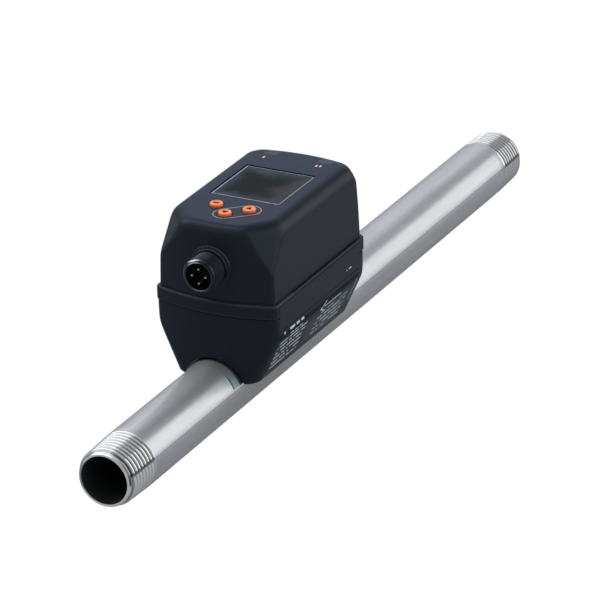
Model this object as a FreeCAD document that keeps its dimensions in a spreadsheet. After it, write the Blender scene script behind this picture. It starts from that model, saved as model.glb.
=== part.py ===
import FreeCAD, Part
import os
import re
import Sketcher

# Inline gas flow meter: a threaded measuring tube that carries a thermal probe, and a moulded head on it
# with a display, three push-buttons, two status lights and a round four-pin connector.
# Frame: millimetres. The outlet end of the tube is at y = 0, its axis is the Y axis, and the head is on +Z.

doc = FreeCAD.newDocument("gas_flow_meter")

# Driving sizes, in millimetres and degrees. Each one is written here and nowhere else.
sizes = {
    # Measuring tube
    "tube_diameter": 21.3,
    "tube_wall": 2.6,
    "tube_length": 300.0,
    "thread_length": 15.5,
    "thread_taper": 1.79,
    "end_chamfer": 2.7,
    "rim_width": 1.0,
    "mouth_chamfer": 0.15,
    "head_place": 110.55,
    # Fits and gaps
    "seat_gap": 0.03,
    "press_gap": 0.02,
    "slide_gap": 0.1,
    "thread_gap": 0.05,
    "loose_gap": 0.3,
    # Saddle plate between the tube and the head
    "saddle_thickness": 0.5,
    "saddle_angle": 138.0,
    "saddle_overhang": 3.6,
    # Outline of the head in plan
    "head_length": 73.9,
    "head_width": 45.2,
    "end_bow": 4.0,
    "band_round": 3.4,
    # Lower housing, heights from the tube's axis
    "seam_height": 32.9,
    "band_height": 4.9,
    "crease_height": 19.6,
    "foot_height": 3.7,
    "foot_width": 30.0,
    "lower_inset": 0.6,
    "lower_round": 4.0,
    "lower_wall": 3.2,
    "lower_floor": 4.8,
    # Cover
    "cover_height": 26.3,
    "cover_inset": 1.1,
    "cover_draft": 1.5,
    "cover_wall": 2.4,
    "cover_round": 3.2,
    "cut_turn": 40.0,
    "cut_tilt": 24.0,
    "front_cut_depth": 6.5,
    "rear_cut_depth": 3.6,
    # Tongue, groove and seal of the seam
    "groove_inset": 1.7,
    "groove_width": 1.0,
    "groove_depth": 2.2,
    "seal_height": 0.9,
    # Welded boss and the nut that clamps the head on it
    "boss_radius": 8.0,
    "boss_height": 20.6,
    "pad_top": 16.0,
    "nut_width": 3.0,
    "nut_height": 3.4,
    "nut_slot_width": 2.4,
    "nut_slot_depth": 1.5,
    # Probe
    "stem_radius": 4.0,
    "stem_end": 7.0,
    "stem_hollow": 1.9,
    "hollow_floor": 11.0,
    "flange_inset": 0.4,
    "flange_height": 1.8,
    "element_radius": 0.7,
    "element_place": 1.3,
    "element_depth": 3.0,
    "ring_width": 1.5,
    "ring_height": 14.0,
    "lead_radius": 0.2,
    "lead_place": 0.4,
    "header_height": 1.5,
    # Small screws
    "screw_radius": 1.0,
    "screw_head_radius": 1.9,
    "screw_head_height": 1.2,
    "screw_length": 4.4,
    "flange_screw_place": 5.9,
    "post_radius": 2.8,
    # Electronics
    "board_thickness": 1.2,
    "main_board_height": 30.0,
    "main_board_gap": 1.3,
    "main_board_length": 56.0,
    "main_screw_edge": 3.0,
    "display_board_drop": 7.0,
    "display_board_width": 34.0,
    "display_board_front": 29.0,
    "display_board_rear": 31.0,
    "display_screw_edge": 2.6,
    "link_width": 14.0,
    "link_thickness": 0.3,
    "link_place": 23.0,
    # Display
    "window_width": 25.6,
    "window_front": 10.45,
    "window_rear": 16.05,
    "window_recess": 0.7,
    "window_thickness": 1.0,
    "window_ledge": 1.4,
    "module_margin": 1.6,
    # Buttons
    "button_radius": 2.45,
    "button_rise": 1.2,
    "button_flange": 3.7,
    "button_flange_height": 0.9,
    "button_stem_radius": 1.2,
    "button_bevel": 0.35,
    "button_dish": 1.2,
    "button_dish_depth": 0.35,
    "button_travel": 0.5,
    "button_across": 6.15,
    "button_rear_row": 18.85,
    "button_front_row": 24.55,
    "switch_width": 4.0,
    "switch_height": 1.2,
    "plunger_radius": 0.8,
    "plunger_height": 0.3,
    # Status lights
    "light_inner": 7.4,
    "light_outer": 13.1,
    "light_front": 27.4,
    "light_rear": 31.2,
    "led_width": 3.0,
    "led_height": 1.1,
    # Connector
    "connector_height": 44.3,
    "connector_seat": 0.5,
    "connector_reach": 9.2,
    "connector_thread": 12.0,
    "connector_bore": 9.4,
    "connector_rim": 0.45,
    "thread_run": 6.2,
    "relief_radius": 5.3,
    "shoulder_radius": 7.6,
    "shoulder_height": 2.1,
    "neck_radius": 5.5,
    "neck_length": 6.1,
    "seal_radius": 6.6,
    "seal_width": 1.0,
    "insert_depth": 7.75,
    "pin_radius": 0.5,
    "pin_place": 2.5,
    "pin_recess": 0.4,
    "connector_nut_flats": 14.0,
    "connector_nut_height": 2.6,
    "connector_board_width": 16.0,
    "connector_board_height": 14.0,
    # Label film on one side
    "film_thickness": 0.15,
    "film_length": 56.0,
    "film_top_gap": 1.0,
    "film_run": 14.0,
}

sheet = doc.addObject("Spreadsheet::Sheet", "Sizes")
for row, (name, value) in enumerate(sizes.items(), 1):
    sheet.set(f"A{row}", name)
    sheet.set(f"B{row}", str(value))
    sheet.setAlias(f"B{row}", name)
doc.recompute()

# Sizes that follow from the driving ones, by name.
worked_out = {
    "tube_radius": "tube_diameter / 2",
    "bore_radius": "tube_radius - tube_wall",
    "thread_small_radius": "tube_radius - (thread_length - end_chamfer) * tan(thread_taper)",
    "saddle_inner": "tube_radius + seat_gap",
    "saddle_outer": "saddle_inner + saddle_thickness",
    "arch_radius": "saddle_outer + loose_gap",
    "end_radius": "(head_width^2 / 4 + end_bow^2) / (2 * end_bow)",
    "end_centre": "end_radius - head_length / 2",
    "cover_top": "seam_height + cover_height",
    "cover_corner": "sqrt((end_radius - cover_inset)^2 - (head_width / 2 - cover_inset)^2) - end_centre",
    "corner_reach": "(head_width / 2 - cover_inset) * cos(cut_turn) + cover_corner * sin(cut_turn)"
                    " - cover_height * tan(cover_draft)",
    "side_turn": "atan((head_width - foot_width) / 2 / (crease_height - foot_height))",
    "boss_hole": "boss_radius + loose_gap",
    "nut_radius": "boss_radius + nut_width",
    "tongue_height": "groove_depth - seal_height",
    "roof_under": "cover_top - cover_wall",
    "display_board_bottom": "cover_top - display_board_drop",
    "display_board_top": "display_board_bottom + board_thickness",
    "window_seat": "cover_top - window_recess - window_thickness",
    "board_reach": "corner_reach - front_cut_depth - cover_wall / cos(cut_tilt) + cover_wall * tan(cut_tilt)",
    "main_board_width": "head_width - 2 * (lower_inset + lower_wall + main_board_gap)",
    "main_screw_across": "main_board_width / 2 - main_screw_edge",
    "main_screw_along": "main_board_length / 2 - main_screw_edge",
    "display_screw_across": "display_board_width / 2 - display_screw_edge",
    "display_screw_front": "window_front + module_margin + post_radius + loose_gap",
    "display_screw_rear": "window_rear + module_margin + post_radius + loose_gap",
    "groove_radius": "stem_radius - ring_width",
    "button_floor": "display_board_top + switch_height + plunger_height + button_travel + seat_gap",
    "front_wall": "head_length / 2 - cover_inset - (connector_height - seam_height) * tan(cover_draft)",
    "seat_place": "front_wall - connector_seat",
    "inner_seat": "seat_place - cover_wall",
    "neck_end": "seat_place - neck_length",
    "connector_board_place": "neck_end - board_thickness",
}


# The text of an expression with every size read from the sheet.
def link(text):
    def full_name(match):
        word = match.group(0)
        if word in worked_out:
            return "(" + link(worked_out[word]) + ")"
        return "Sizes." + word if word in sizes else word
    return re.sub(r"[a-z_]+", full_name, text)


def value_of(text):
    return float(doc.Sizes.evalExpression(link(text)))


def bind(item, entry, text):
    item.setExpression(entry, link(text))


# A body on the head's own middle plane, or on the tube's end where at_head is False.
def new_body(name, at_head=True):
    body = doc.addObject("PartDesign::Body", name)
    body.Label = name
    if at_head:
        bind(body, "Placement.Base.y", "head_place")
    return body


def origin_part(body, role):
    return [item for item in body.Origin.OriginFeatures if item.Role == role][0]


# A sketch on one of the body's own planes, shifted along the plane's three directions and turned about its upright.
def new_sketch(body, plane="XY_Plane", right="0", up="0", out="0", turn="0"):
    sketch = body.newObject("Sketcher::SketchObject", body.Name + "_sketch")
    sketch.AttachmentSupport = [(origin_part(body, plane), "")]
    sketch.MapMode = "FlatFace"
    bind(sketch, "AttachmentOffset", f"placement(vector({right}; {up}; {out}); rotation(0; {turn}; 0))")
    return sketch


# Holds one point of a curve at x, y measured from the sketch's origin.
def hold(sketch, curve, point, x, y):
    for kind, text in (("DistanceX", x), ("DistanceY", y)):
        index = sketch.addConstraint(Sketcher.Constraint(kind, -1, 1, curve, point, value_of(text)))
        bind(sketch, f"Constraints[{index}]", text)


def size_curve(sketch, kind, curve, text):
    index = sketch.addConstraint(Sketcher.Constraint(kind, curve, value_of(text)))
    bind(sketch, f"Constraints[{index}]", text)


def polygon(sketch, points):
    places = [FreeCAD.Vector(value_of(x), value_of(y), 0) for x, y in points]
    first = sketch.GeometryCount
    count = len(points)
    for i in range(count):
        sketch.addGeometry(Part.LineSegment(places[i], places[(i + 1) % count]), False)
    for i in range(count):
        sketch.addConstraint(Sketcher.Constraint("Coincident", first + i, 2, first + (i + 1) % count, 1))
    for i, (x, y) in enumerate(points):
        hold(sketch, first + i, 1, x, y)
    return sketch


def rectangle(sketch, left, bottom, right, top):
    return polygon(sketch, [(left, bottom), (right, bottom), (right, top), (left, top)])


def circle(sketch, x, y, radius):
    centre = FreeCAD.Vector(value_of(x), value_of(y), 0)
    curve = sketch.addGeometry(Part.Circle(centre, FreeCAD.Vector(0, 0, 1), value_of(radius)), False)
    hold(sketch, curve, 3, x, y)
    size_curve(sketch, "Radius", curve, radius)
    return sketch


# The head's plan: straight sides, bowed ends and sharp corners, set in from the widest outline.
def sharp_plan(sketch, side="0", end="0"):
    half = value_of(f"head_width / 2 - ({side})")
    radius = value_of(f"end_radius - ({end})")
    centre = value_of("end_centre")
    corner = (radius ** 2 - half ** 2) ** 0.5 - centre
    vector = FreeCAD.Vector
    tip = radius - centre
    right = sketch.addGeometry(Part.LineSegment(vector(half, -corner, 0), vector(half, corner, 0)), False)
    rear = Part.Arc(vector(half, corner, 0), vector(0, tip, 0), vector(-half, corner, 0))
    rear = sketch.addGeometry(rear, False)
    left = sketch.addGeometry(Part.LineSegment(vector(-half, corner, 0), vector(-half, -corner, 0)), False)
    front = Part.Arc(vector(-half, -corner, 0), vector(0, -tip, 0), vector(half, -corner, 0))
    front = sketch.addGeometry(front, False)
    for curve, other in ((right, rear), (rear, left), (left, front), (front, right)):
        sketch.addConstraint(Sketcher.Constraint("Coincident", curve, 2, other, 1))
    for curve in (right, left):
        sketch.addConstraint(Sketcher.Constraint("Vertical", curve))
    for curve, sign in ((right, ""), (left, "-")):
        index = sketch.addConstraint(Sketcher.Constraint("DistanceX", -1, 1, curve, 1, half if curve == right else -half))
        bind(sketch, f"Constraints[{index}]", f"{sign}(head_width / 2 - ({side}))")
    for curve, sign in ((rear, "-"), (front, "")):
        hold(sketch, curve, 3, "0", f"{sign}end_centre")
        size_curve(sketch, "Radius", curve, f"end_radius - ({end})")
    return sketch


def pad(body, sketch, length, taper=None, both=False, back=False):
    feature = body.newObject("PartDesign::Pad", body.Name + "_pad")
    feature.Profile = sketch
    feature.Midplane = both
    feature.Reversed = back
    bind(feature, "Length", length)
    if taper:
        bind(feature, "TaperAngle", taper)
    doc.recompute()
    return feature


# A cut against the sketch's own direction, or along it where back is True, or both ways.
def cut(body, sketch, length, both=False, back=False):
    before = body.Shape.Volume
    feature = body.newObject("PartDesign::Pocket", body.Name + "_cut")
    feature.Profile = sketch
    feature.Midplane = both
    feature.Reversed = back
    bind(feature, "Length", length)
    doc.recompute()
    if body.Shape.Volume > before - 1e-6:
        print("cut removes nothing:", feature.Name)
    return feature


def spin(body, sketch, axis="V_Axis", angle=None):
    feature = body.newObject("PartDesign::Revolution", body.Name + "_spin")
    feature.Profile = sketch
    feature.ReferenceAxis = (sketch, [axis])
    if angle:
        feature.Midplane = True
        bind(feature, "Angle", angle)
    doc.recompute()
    return feature


def round_edges(body, radius, wanted):
    base = body.Tip
    names = [f"Edge{i}" for i, edge in enumerate(base.Shape.Edges, 1) if wanted(edge)]
    feature = body.newObject("PartDesign::Fillet", body.Name + "_round")
    feature.Base = (base, names)
    bind(feature, "Radius", radius)
    doc.recompute()
    return feature


def mirror(body, features, plane):
    feature = body.newObject("PartDesign::Mirrored", body.Name + "_mirror")
    feature.Originals = features
    feature.MirrorPlane = (origin_part(body, plane), [""])
    body.Tip = feature
    doc.recompute()
    return feature


def repeat_round(body, features, count, axis="Z_Axis"):
    feature = body.newObject("PartDesign::PolarPattern", body.Name + "_repeat")
    feature.Originals = features
    feature.Axis = (origin_part(body, axis), [""])
    feature.Angle = 360
    feature.Occurrences = count
    body.Tip = feature
    doc.recompute()
    return feature


def combine(name, kind, base, tool):
    feature = doc.addObject(kind, name)
    feature.Label = name
    feature.Base = base
    feature.Tool = tool
    doc.recompute()
    return feature


# Measuring tube, with the probe's hole through its upper wall. The thread turns are left to the surface.
def measuring_tube():
    body = new_body("measuring_tube", at_head=False)
    outlet_side = [
        ("mouth_chamfer", "bore_radius"),
        ("0", "bore_radius + mouth_chamfer"),
        ("0", "bore_radius + rim_width"),
        ("end_chamfer", "thread_small_radius"),
        ("thread_length", "tube_radius"),
    ]
    inlet_side = [(f"tube_length - ({along})", radius) for along, radius in reversed(outlet_side)]
    spin(body, polygon(new_sketch(body, "YZ_Plane"), outlet_side + inlet_side), "H_Axis")
    hole = circle(new_sketch(body), "0", "head_place", "stem_radius + loose_gap")
    cut(body, hole, "tube_diameter", back=True)
    return body


def sensor_boss():
    body = new_body("sensor_boss")
    pad(body, circle(new_sketch(body), "0", "0", "boss_radius"), "boss_height")
    cut(body, circle(new_sketch(body, "XZ_Plane"), "0", "0", "tube_radius + seat_gap"), "3 * boss_radius", both=True)
    cut(body, circle(new_sketch(body, out="boss_height"), "0", "0", "stem_radius + press_gap"), "boss_height")
    hole = circle(new_sketch(body, out="boss_height"), "0", "flange_screw_place", "screw_radius + press_gap")
    repeat_round(body, [cut(body, hole, "screw_length")], 3)
    return body


def tube_saddle():
    body = new_body("tube_saddle")
    half = "(head_length / 2 + saddle_overhang)"
    profile = rectangle(new_sketch(body, "YZ_Plane"), f"-{half}", "saddle_inner", half, "saddle_outer")
    spin(body, profile, "H_Axis", "saddle_angle")
    cut(body, circle(new_sketch(body), "0", "0", "boss_hole"), "tube_diameter", back=True)
    return body


# Flanged probe: a hollow stem through the boss and the tube's wall, with two thin elements in its end.
def probe_body():
    body = new_body("probe_body")
    low, high = "ring_height - ring_width / 2 - slide_gap", "ring_height + ring_width / 2 + slide_gap"
    profile = [
        ("0", "stem_end"),
        ("stem_radius", "stem_end"),
        ("stem_radius", low),
        ("groove_radius", low),
        ("groove_radius", high),
        ("stem_radius", high),
        ("stem_radius", "boss_height"),
        ("boss_radius - flange_inset", "boss_height"),
        ("boss_radius - flange_inset", "boss_height + flange_height"),
        ("0", "boss_height + flange_height"),
    ]
    spin(body, polygon(new_sketch(body, "XZ_Plane"), profile))
    top = "boss_height + flange_height"
    cut(body, circle(new_sketch(body, out=top), "0", "0", "stem_hollow"), f"{top} - hollow_floor")
    bores = new_sketch(body, out="hollow_floor")
    for place in ("element_place", "-element_place"):
        circle(bores, "0", place, "element_radius + press_gap")
    cut(body, bores, "hollow_floor")
    hole = circle(new_sketch(body, out=top), "0", "flange_screw_place", "screw_radius + slide_gap")
    repeat_round(body, [cut(body, hole, "flange_height")], 3)
    return body


def sensor_element(name, place):
    body = new_body(name)
    profile = [
        ("0", "-element_depth"),
        ("element_radius / 2", "-element_depth"),
        ("element_radius", "element_radius / 2 - element_depth"),
        ("element_radius", "hollow_floor"),
        ("0", "hollow_floor"),
    ]
    spin(body, polygon(new_sketch(body, "XZ_Plane", out=f"-({place})"), profile))
    return body


def lead_places():
    return [(x, y) for x in ("lead_place", "-lead_place") for y in ("element_place", "-element_place")]


def probe_header():
    body = new_body("probe_header")
    sketch = circle(new_sketch(body, out="boss_height + flange_height"), "0", "0", "stem_hollow - press_gap")
    for x, y in lead_places():
        circle(sketch, x, y, "lead_radius + press_gap")
    pad(body, sketch, "header_height", back=True)
    return body


def probe_leads():
    body = new_body("probe_leads")
    sketch = new_sketch(body, out="hollow_floor")
    for x, y in lead_places():
        circle(sketch, x, y, "lead_radius")
    pad(body, sketch, "main_board_height + 1.5 * board_thickness - hollow_floor")
    return body


# Square-section ring in the groove of the probe's stem.
def probe_seal():
    body = new_body("probe_seal")
    sketch = circle(new_sketch(body, out="ring_height"), "0", "0", "stem_radius")
    circle(sketch, "0", "0", "groove_radius + press_gap")
    pad(body, sketch, "ring_width", both=True)
    return body


# Equal screws as one group: heads on the seat, shanks down from it, or up from it where up is True.
def screws(body, places, seat, up=False):
    for radius, length, out in (("screw_radius", "screw_length", up), ("screw_head_radius", "screw_head_height", not up)):
        sketch = new_sketch(body, out=seat)
        for x, y in places:
            circle(sketch, x, y, radius)
        pad(body, sketch, length, back=not out)
    return body


def probe_screws():
    body = new_body("probe_screws")
    places = [("0", "flange_screw_place")]
    for sign in ("", "-"):
        places.append((f"{sign}flange_screw_place * cos(30)", "-flange_screw_place / 2"))
    return screws(body, places, "boss_height + flange_height")


def head_nut():
    body = new_body("head_nut")
    sketch = circle(new_sketch(body, out="pad_top"), "0", "0", "nut_radius")
    circle(sketch, "0", "0", "boss_radius + thread_gap")
    pad(body, sketch, "nut_height")
    slot = rectangle(new_sketch(body, out="pad_top + nut_height"), "nut_radius - nut_slot_depth", "-nut_slot_width / 2",
                     "2 * nut_radius", "nut_slot_width / 2")
    repeat_round(body, [cut(body, slot, "nut_height")], 4)
    return body


# Cuts the slanted lower sides, and the arch that goes over the tube, out of a block of the lower housing.
def shape_underside(body, wall, arch):
    far = "head_length"
    inner = f"({wall}) / cos(side_turn)"
    crease = f"crease_height + ({wall}) * tan(side_turn / 2)"
    sketch = new_sketch(body, "XZ_Plane")
    bottom = "(crease_height - foot_height)"
    polygon(sketch, [
        ("head_width / 2 + 1", crease),
        (f"head_width / 2 - ({wall})", crease),
        (f"foot_width / 2 - {inner}", "foot_height"),
        (f"foot_width / 2 - {inner} - {bottom} * tan(side_turn)", f"foot_height - {bottom}"),
        ("head_width / 2 + 1", f"foot_height - {bottom}"),
    ])
    slant = cut(body, sketch, f"2 * {far}", both=True)
    mirror(body, [slant], "YZ_Plane")
    cut(body, circle(new_sketch(body, "XZ_Plane"), "0", "0", arch), f"2 * {far}", both=True)


def lower_form():
    body = new_body("lower_form")
    sketch = sharp_plan(new_sketch(body, out="foot_height"), end="lower_inset")
    pad(body, sketch, "seam_height - band_height - foot_height")
    shape_underside(body, "0", "arch_radius")
    length = value_of("head_length / 2")

    def corner(edge):
        middle = edge.BoundBox.Center
        upright = edge.BoundBox.ZLength > 3 and edge.BoundBox.YLength < 1
        return upright and abs(middle.y - value_of("head_place")) > length * 0.8 and abs(middle.x) > value_of("foot_width") * 0.45
    round_edges(body, "lower_round", corner)
    band = sharp_plan(new_sketch(body, out="seam_height - band_height"))
    pad(body, band, "band_height")
    low = value_of("seam_height - band_height")

    def band_corner(edge):
        box = edge.BoundBox
        return abs(box.ZMin - low) < 0.01 and box.ZLength > 3 and box.YLength < 0.01 and abs(box.Center.x) > 5
    round_edges(body, "band_round", band_corner)
    return body


# The hollow of the lower housing. What is cut out of it stays as the pad round the boss and the four posts.
def lower_cavity():
    body = new_body("lower_cavity")
    sketch = sharp_plan(new_sketch(body, out="foot_height + lower_floor"), "lower_wall", "lower_wall + lower_inset")
    pad(body, sketch, "seam_height - foot_height - lower_floor")
    shape_underside(body, "lower_wall", "arch_radius + lower_wall")
    keep = circle(new_sketch(body), "0", "0", "nut_radius + loose_gap")
    cut(body, keep, "pad_top", back=True)
    posts = new_sketch(body)
    for x, y in corner_places("main_screw_across", "main_screw_along", "main_screw_along"):
        circle(posts, x, y, "post_radius")
    cut(body, posts, "main_board_height", back=True)
    return body


def corner_places(across, front, rear):
    return [(f"{side}{across}", along) for side in ("", "-") for along in (f"-{front}", rear)]


# The holes of the lower housing: the boss, the posts' pilot holes and the groove round the seam.
def lower_holes():
    body = new_body("lower_holes")
    pad(body, circle(new_sketch(body), "0", "0", "boss_hole"), "seam_height")
    pilots = new_sketch(body, out="main_board_height")
    for x, y in corner_places("main_screw_across", "main_screw_along", "main_screw_along"):
        circle(pilots, x, y, "screw_radius + press_gap")
    pad(body, pilots, "screw_length", back=True)
    groove = sharp_plan(new_sketch(body, out="seam_height"), "groove_inset", "groove_inset")
    inner = "groove_inset + groove_width"
    sharp_plan(groove, inner, inner)
    pad(body, groove, "groove_depth", back=True)
    return body


def seam_ring(name, top, height, gap):
    body = new_body(name)
    outer = f"groove_inset + {gap}"
    inner = f"groove_inset + groove_width - {gap}"
    sketch = sharp_plan(new_sketch(body, out=top), outer, outer)
    sharp_plan(sketch, inner, inner)
    pad(body, sketch, height, back=True)
    return body


# The cover's outer form, or the form of its hollow where a wall is given: drafted sides and four corner cuts.
def cover_form(name, wall="0"):
    body = new_body(name)
    inset = f"cover_inset + {wall}"
    pad(body, sharp_plan(new_sketch(body, out="seam_height"), inset, inset), f"cover_height - {wall}", "-cover_draft")
    wedges = []
    for turn, depth in (("cut_turn", "rear_cut_depth"), ("-cut_turn", "front_cut_depth")):
        reach = f"(corner_reach - {depth} - {wall} / cos(cut_tilt))"
        far = f"{reach} + head_width"
        sketch = polygon(new_sketch(body, "XZ_Plane", turn=turn), [
            (f"{reach} - tan(cut_tilt)", "cover_top + 1"),
            (f"{reach} + cover_height * tan(cut_tilt)", "seam_height"),
            (far, "seam_height"),
            (far, "cover_top + 1"),
        ])
        wedges.append(cut(body, sketch, "2 * head_width", both=True))
    mirror(body, wedges, "YZ_Plane")
    return body


def cover_outline():
    body = cover_form("cover_outline")
    seam = value_of("seam_height")
    round_edges(body, "cover_round", lambda edge: edge.BoundBox.ZMax > seam + 0.1)
    return body


# The hollow of the cover, less the flat seat of the connector's nut and the four posts of the display board.
def cover_cavity():
    body = cover_form("cover_cavity", "cover_wall")
    seat = circle(new_sketch(body, "XZ_Plane", out="inner_seat"), "0", "connector_height", "connector_nut_flats * 0.65")
    cut(body, seat, "head_length", back=True)
    posts = new_sketch(body, out="display_board_top")
    for x, y in display_screw_places():
        circle(posts, x, y, "post_radius")
    cut(body, posts, "head_length", back=True)
    return body


def display_screw_places():
    return corner_places("display_screw_across", "display_screw_front", "display_screw_rear")


def button_places():
    return {
        "enter_button": ("-button_across", "-button_rear_row"),
        "up_button": ("button_across", "-button_rear_row"),
        "down_button": ("0", "-button_front_row"),
    }


# Everything that is cut through the cover's wall.
def cover_holes():
    body = new_body("cover_holes")
    half = "window_width / 2"
    glass = rectangle(new_sketch(body, out="window_seat"), f"-{half}", "-window_front", half, "window_rear")
    pad(body, glass, "cover_top + 1 - window_seat")
    view = rectangle(new_sketch(body, out="roof_under - 1"), f"window_ledge - {half}", "window_ledge - window_front",
                     f"{half} - window_ledge", "window_rear - window_ledge")
    pad(body, view, "cover_top + 1 - roof_under")
    buttons = new_sketch(body, out="roof_under - 1")
    for x, y in button_places().values():
        circle(buttons, x, y, "button_radius + slide_gap")
    pad(body, buttons, "cover_wall + 2")
    lights = new_sketch(body, out="display_board_top + led_height")
    rectangle(lights, "light_inner", "light_front", "light_outer", "light_rear")
    rectangle(lights, "-light_outer", "light_front", "-light_inner", "light_rear")
    pad(body, lights, "display_board_drop")
    pilots = new_sketch(body, out="display_board_top")
    for x, y in display_screw_places():
        circle(pilots, x, y, "screw_radius + press_gap")
    pad(body, pilots, "screw_length - board_thickness")
    spot = circle(new_sketch(body, "XZ_Plane", out="seat_place"), "0", "connector_height", "shoulder_radius + loose_gap")
    pad(body, spot, "cover_wall + shoulder_height")
    neck = circle(new_sketch(body, "XZ_Plane", out="seat_place"), "0", "connector_height", "neck_radius + slide_gap")
    pad(body, neck, "2 * cover_wall", back=True)
    return body


def upper_housing(outer):
    shell = combine("upper_shell", "Part::Cut", outer, cover_cavity())
    tongue = seam_ring("cover_tongue", "seam_height", "tongue_height", "slide_gap")
    rimmed = combine("rimmed_shell", "Part::Fuse", shell, tongue)
    return combine("upper_housing", "Part::Cut", rimmed, cover_holes())


def lower_housing():
    shell = combine("lower_shell", "Part::Cut", lower_form(), lower_cavity())
    return combine("lower_housing", "Part::Cut", shell, lower_holes())


# A light guide takes its top from the cover's own outer form, so that it ends flush with it.
def light_guide(name, outer, side):
    body = new_body(name + "_block")
    near, far = f"{side}(light_inner + press_gap)", f"{side}(light_outer - press_gap)"
    left, right = (near, far) if side == "" else (far, near)
    block = rectangle(new_sketch(body, out="display_board_top + led_height + loose_gap"), left, "light_front + press_gap",
                      right, "light_rear - press_gap")
    pad(body, block, "cover_height")
    return combine(name, "Part::Common", body, outer)


def display_window():
    body = new_body("display_window")
    half = "(window_width / 2 - press_gap)"
    sketch = rectangle(new_sketch(body, out="window_seat"), f"-{half}", "press_gap - window_front", half,
                       "window_rear - press_gap")
    pad(body, sketch, "window_thickness")
    return body


def display_module():
    body = new_body("display_module")
    half = "(window_width / 2 + module_margin)"
    sketch = rectangle(new_sketch(body, out="display_board_top"), f"-{half}", "-window_front - module_margin", half,
                       "window_rear + module_margin")
    pad(body, sketch, "roof_under - display_board_top - seat_gap")
    return body


def display_board():
    body = new_body("display_board")
    half = "display_board_width / 2"
    board = rectangle(new_sketch(body, out="display_board_bottom"), f"-{half}", "-display_board_front", half,
                      "display_board_rear")
    pad(body, board, "board_thickness")
    corners = []
    for turn in ("cut_turn", "-cut_turn"):
        sketch = rectangle(new_sketch(body, "XZ_Plane", turn=turn), "board_reach", "display_board_bottom - 1",
                           "2 * head_width", "display_board_top + 1")
        corners.append(cut(body, sketch, "2 * head_width", both=True))
    mirror(body, corners, "YZ_Plane")
    holes = new_sketch(body, out="display_board_top")
    for x, y in display_screw_places():
        circle(holes, x, y, "screw_radius + slide_gap")
    cut(body, holes, "board_thickness")
    return body


def switches():
    body = new_body("switches")
    cases = new_sketch(body, out="display_board_top")
    plungers = new_sketch(body, out="display_board_top + switch_height")
    for x, y in button_places().values():
        half = "switch_width / 2"
        rectangle(cases, f"{x} - {half}", f"{y} - {half}", f"{x} + {half}", f"{y} + {half}")
        circle(plungers, x, y, "plunger_radius")
    pad(body, cases, "switch_height")
    pad(body, plungers, "plunger_height")
    return body


# A push-button: dished cap through the roof, flange held under it, and a stem that reaches the switch at
# full travel.
def push_button(name):
    body = new_body(name)
    x, y = button_places()[name]
    top = "cover_top + button_rise"
    profile = [
        ("0", "button_floor"),
        ("button_stem_radius", "button_floor"),
        ("button_stem_radius", "roof_under - button_flange_height"),
        ("button_flange", "roof_under - button_flange_height"),
        ("button_flange", "roof_under"),
        ("button_radius", "roof_under"),
        ("button_radius", f"{top} - button_bevel"),
        ("button_radius - button_bevel", top),
        ("button_dish + button_bevel", top),
        ("button_dish", f"{top} - button_dish_depth"),
        ("0", f"{top} - button_dish_depth"),
    ]
    spin(body, polygon(new_sketch(body, "XZ_Plane", right=x, out=f"-({y})"), profile))
    return body


def indicator_leds():
    body = new_body("indicator_leds")
    sketch = new_sketch(body, out="display_board_top")
    half = "led_width / 2"
    middle = "(light_inner + light_outer) / 2"
    along = "(light_front + light_rear) / 2"
    for side in ("", "-"):
        rectangle(sketch, f"{side}{middle} - {half}", f"{along} - {half}", f"{side}{middle} + {half}", f"{along} + {half}")
    pad(body, sketch, "led_height")
    return body


def main_board():
    body = new_body("main_board")
    across, along = "main_board_width / 2", "main_board_length / 2"
    sketch = rectangle(new_sketch(body, out="main_board_height"), f"-{across}", f"-{along}", across, along)
    for x, y in corner_places("main_screw_across", "main_screw_along", "main_screw_along"):
        circle(sketch, x, y, "screw_radius + slide_gap")
    for x, y in lead_places():
        circle(sketch, x, y, "lead_radius + press_gap")
    pad(body, sketch, "board_thickness")
    return body


def board_screws():
    body = new_body("board_screws")
    places = corner_places("main_screw_across", "main_screw_along", "main_screw_along")
    screws(body, places, "main_board_height + board_thickness")
    return screws(body, display_screw_places(), "display_board_bottom", up=True)


# Flat links between the boards, one strip each, that end on both boards.
def board_link():
    body = new_body("board_link")
    low = "main_board_height + board_thickness"
    half = "link_width / 2"
    sketch = rectangle(new_sketch(body, out=low), f"-{half}", "link_place", half, "link_place + link_thickness")
    pad(body, sketch, f"display_board_bottom - ({low})")
    return body


def connector_link():
    body = new_body("connector_link")
    low = "main_board_height + board_thickness"
    half = "link_width / 4"
    sketch = rectangle(new_sketch(body, out=low), f"-{half}", "-connector_board_place", half,
                       "link_thickness - connector_board_place")
    pad(body, sketch, f"connector_height - pin_place - 2 * pin_radius - ({low})")
    return body


# Connector shell, turned about the Y axis through its own middle: shoulder on the wall, neck through it.
def connector_shell():
    body = new_body("connector_shell")
    bind(body, "Placement.Base.z", "connector_height")
    tip = "-seat_place - connector_reach"
    thread = "connector_thread / 2"
    shoulder = "-seat_place - shoulder_height"
    outline = [
        (tip, "connector_bore / 2"),
        (tip, f"{thread} - connector_rim"),
        (f"{tip} + connector_rim", thread),
        (f"{tip} + thread_run", thread),
        (f"{tip} + thread_run", "relief_radius"),
        (shoulder, "relief_radius"),
        (shoulder, "shoulder_radius"),
        ("-seat_place", "shoulder_radius"),
        ("-seat_place", "seal_radius + seal_width / 2"),
        ("-seat_place - seal_width", "seal_radius + seal_width / 2"),
        ("-seat_place - seal_width", "seal_radius - seal_width / 2"),
        ("-seat_place", "seal_radius - seal_width / 2"),
        ("-seat_place", "neck_radius"),
        ("-neck_end", "neck_radius"),
        ("-neck_end", "connector_bore / 2"),
    ]
    spin(body, polygon(new_sketch(body, "YZ_Plane"), outline), "H_Axis")
    return body


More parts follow.
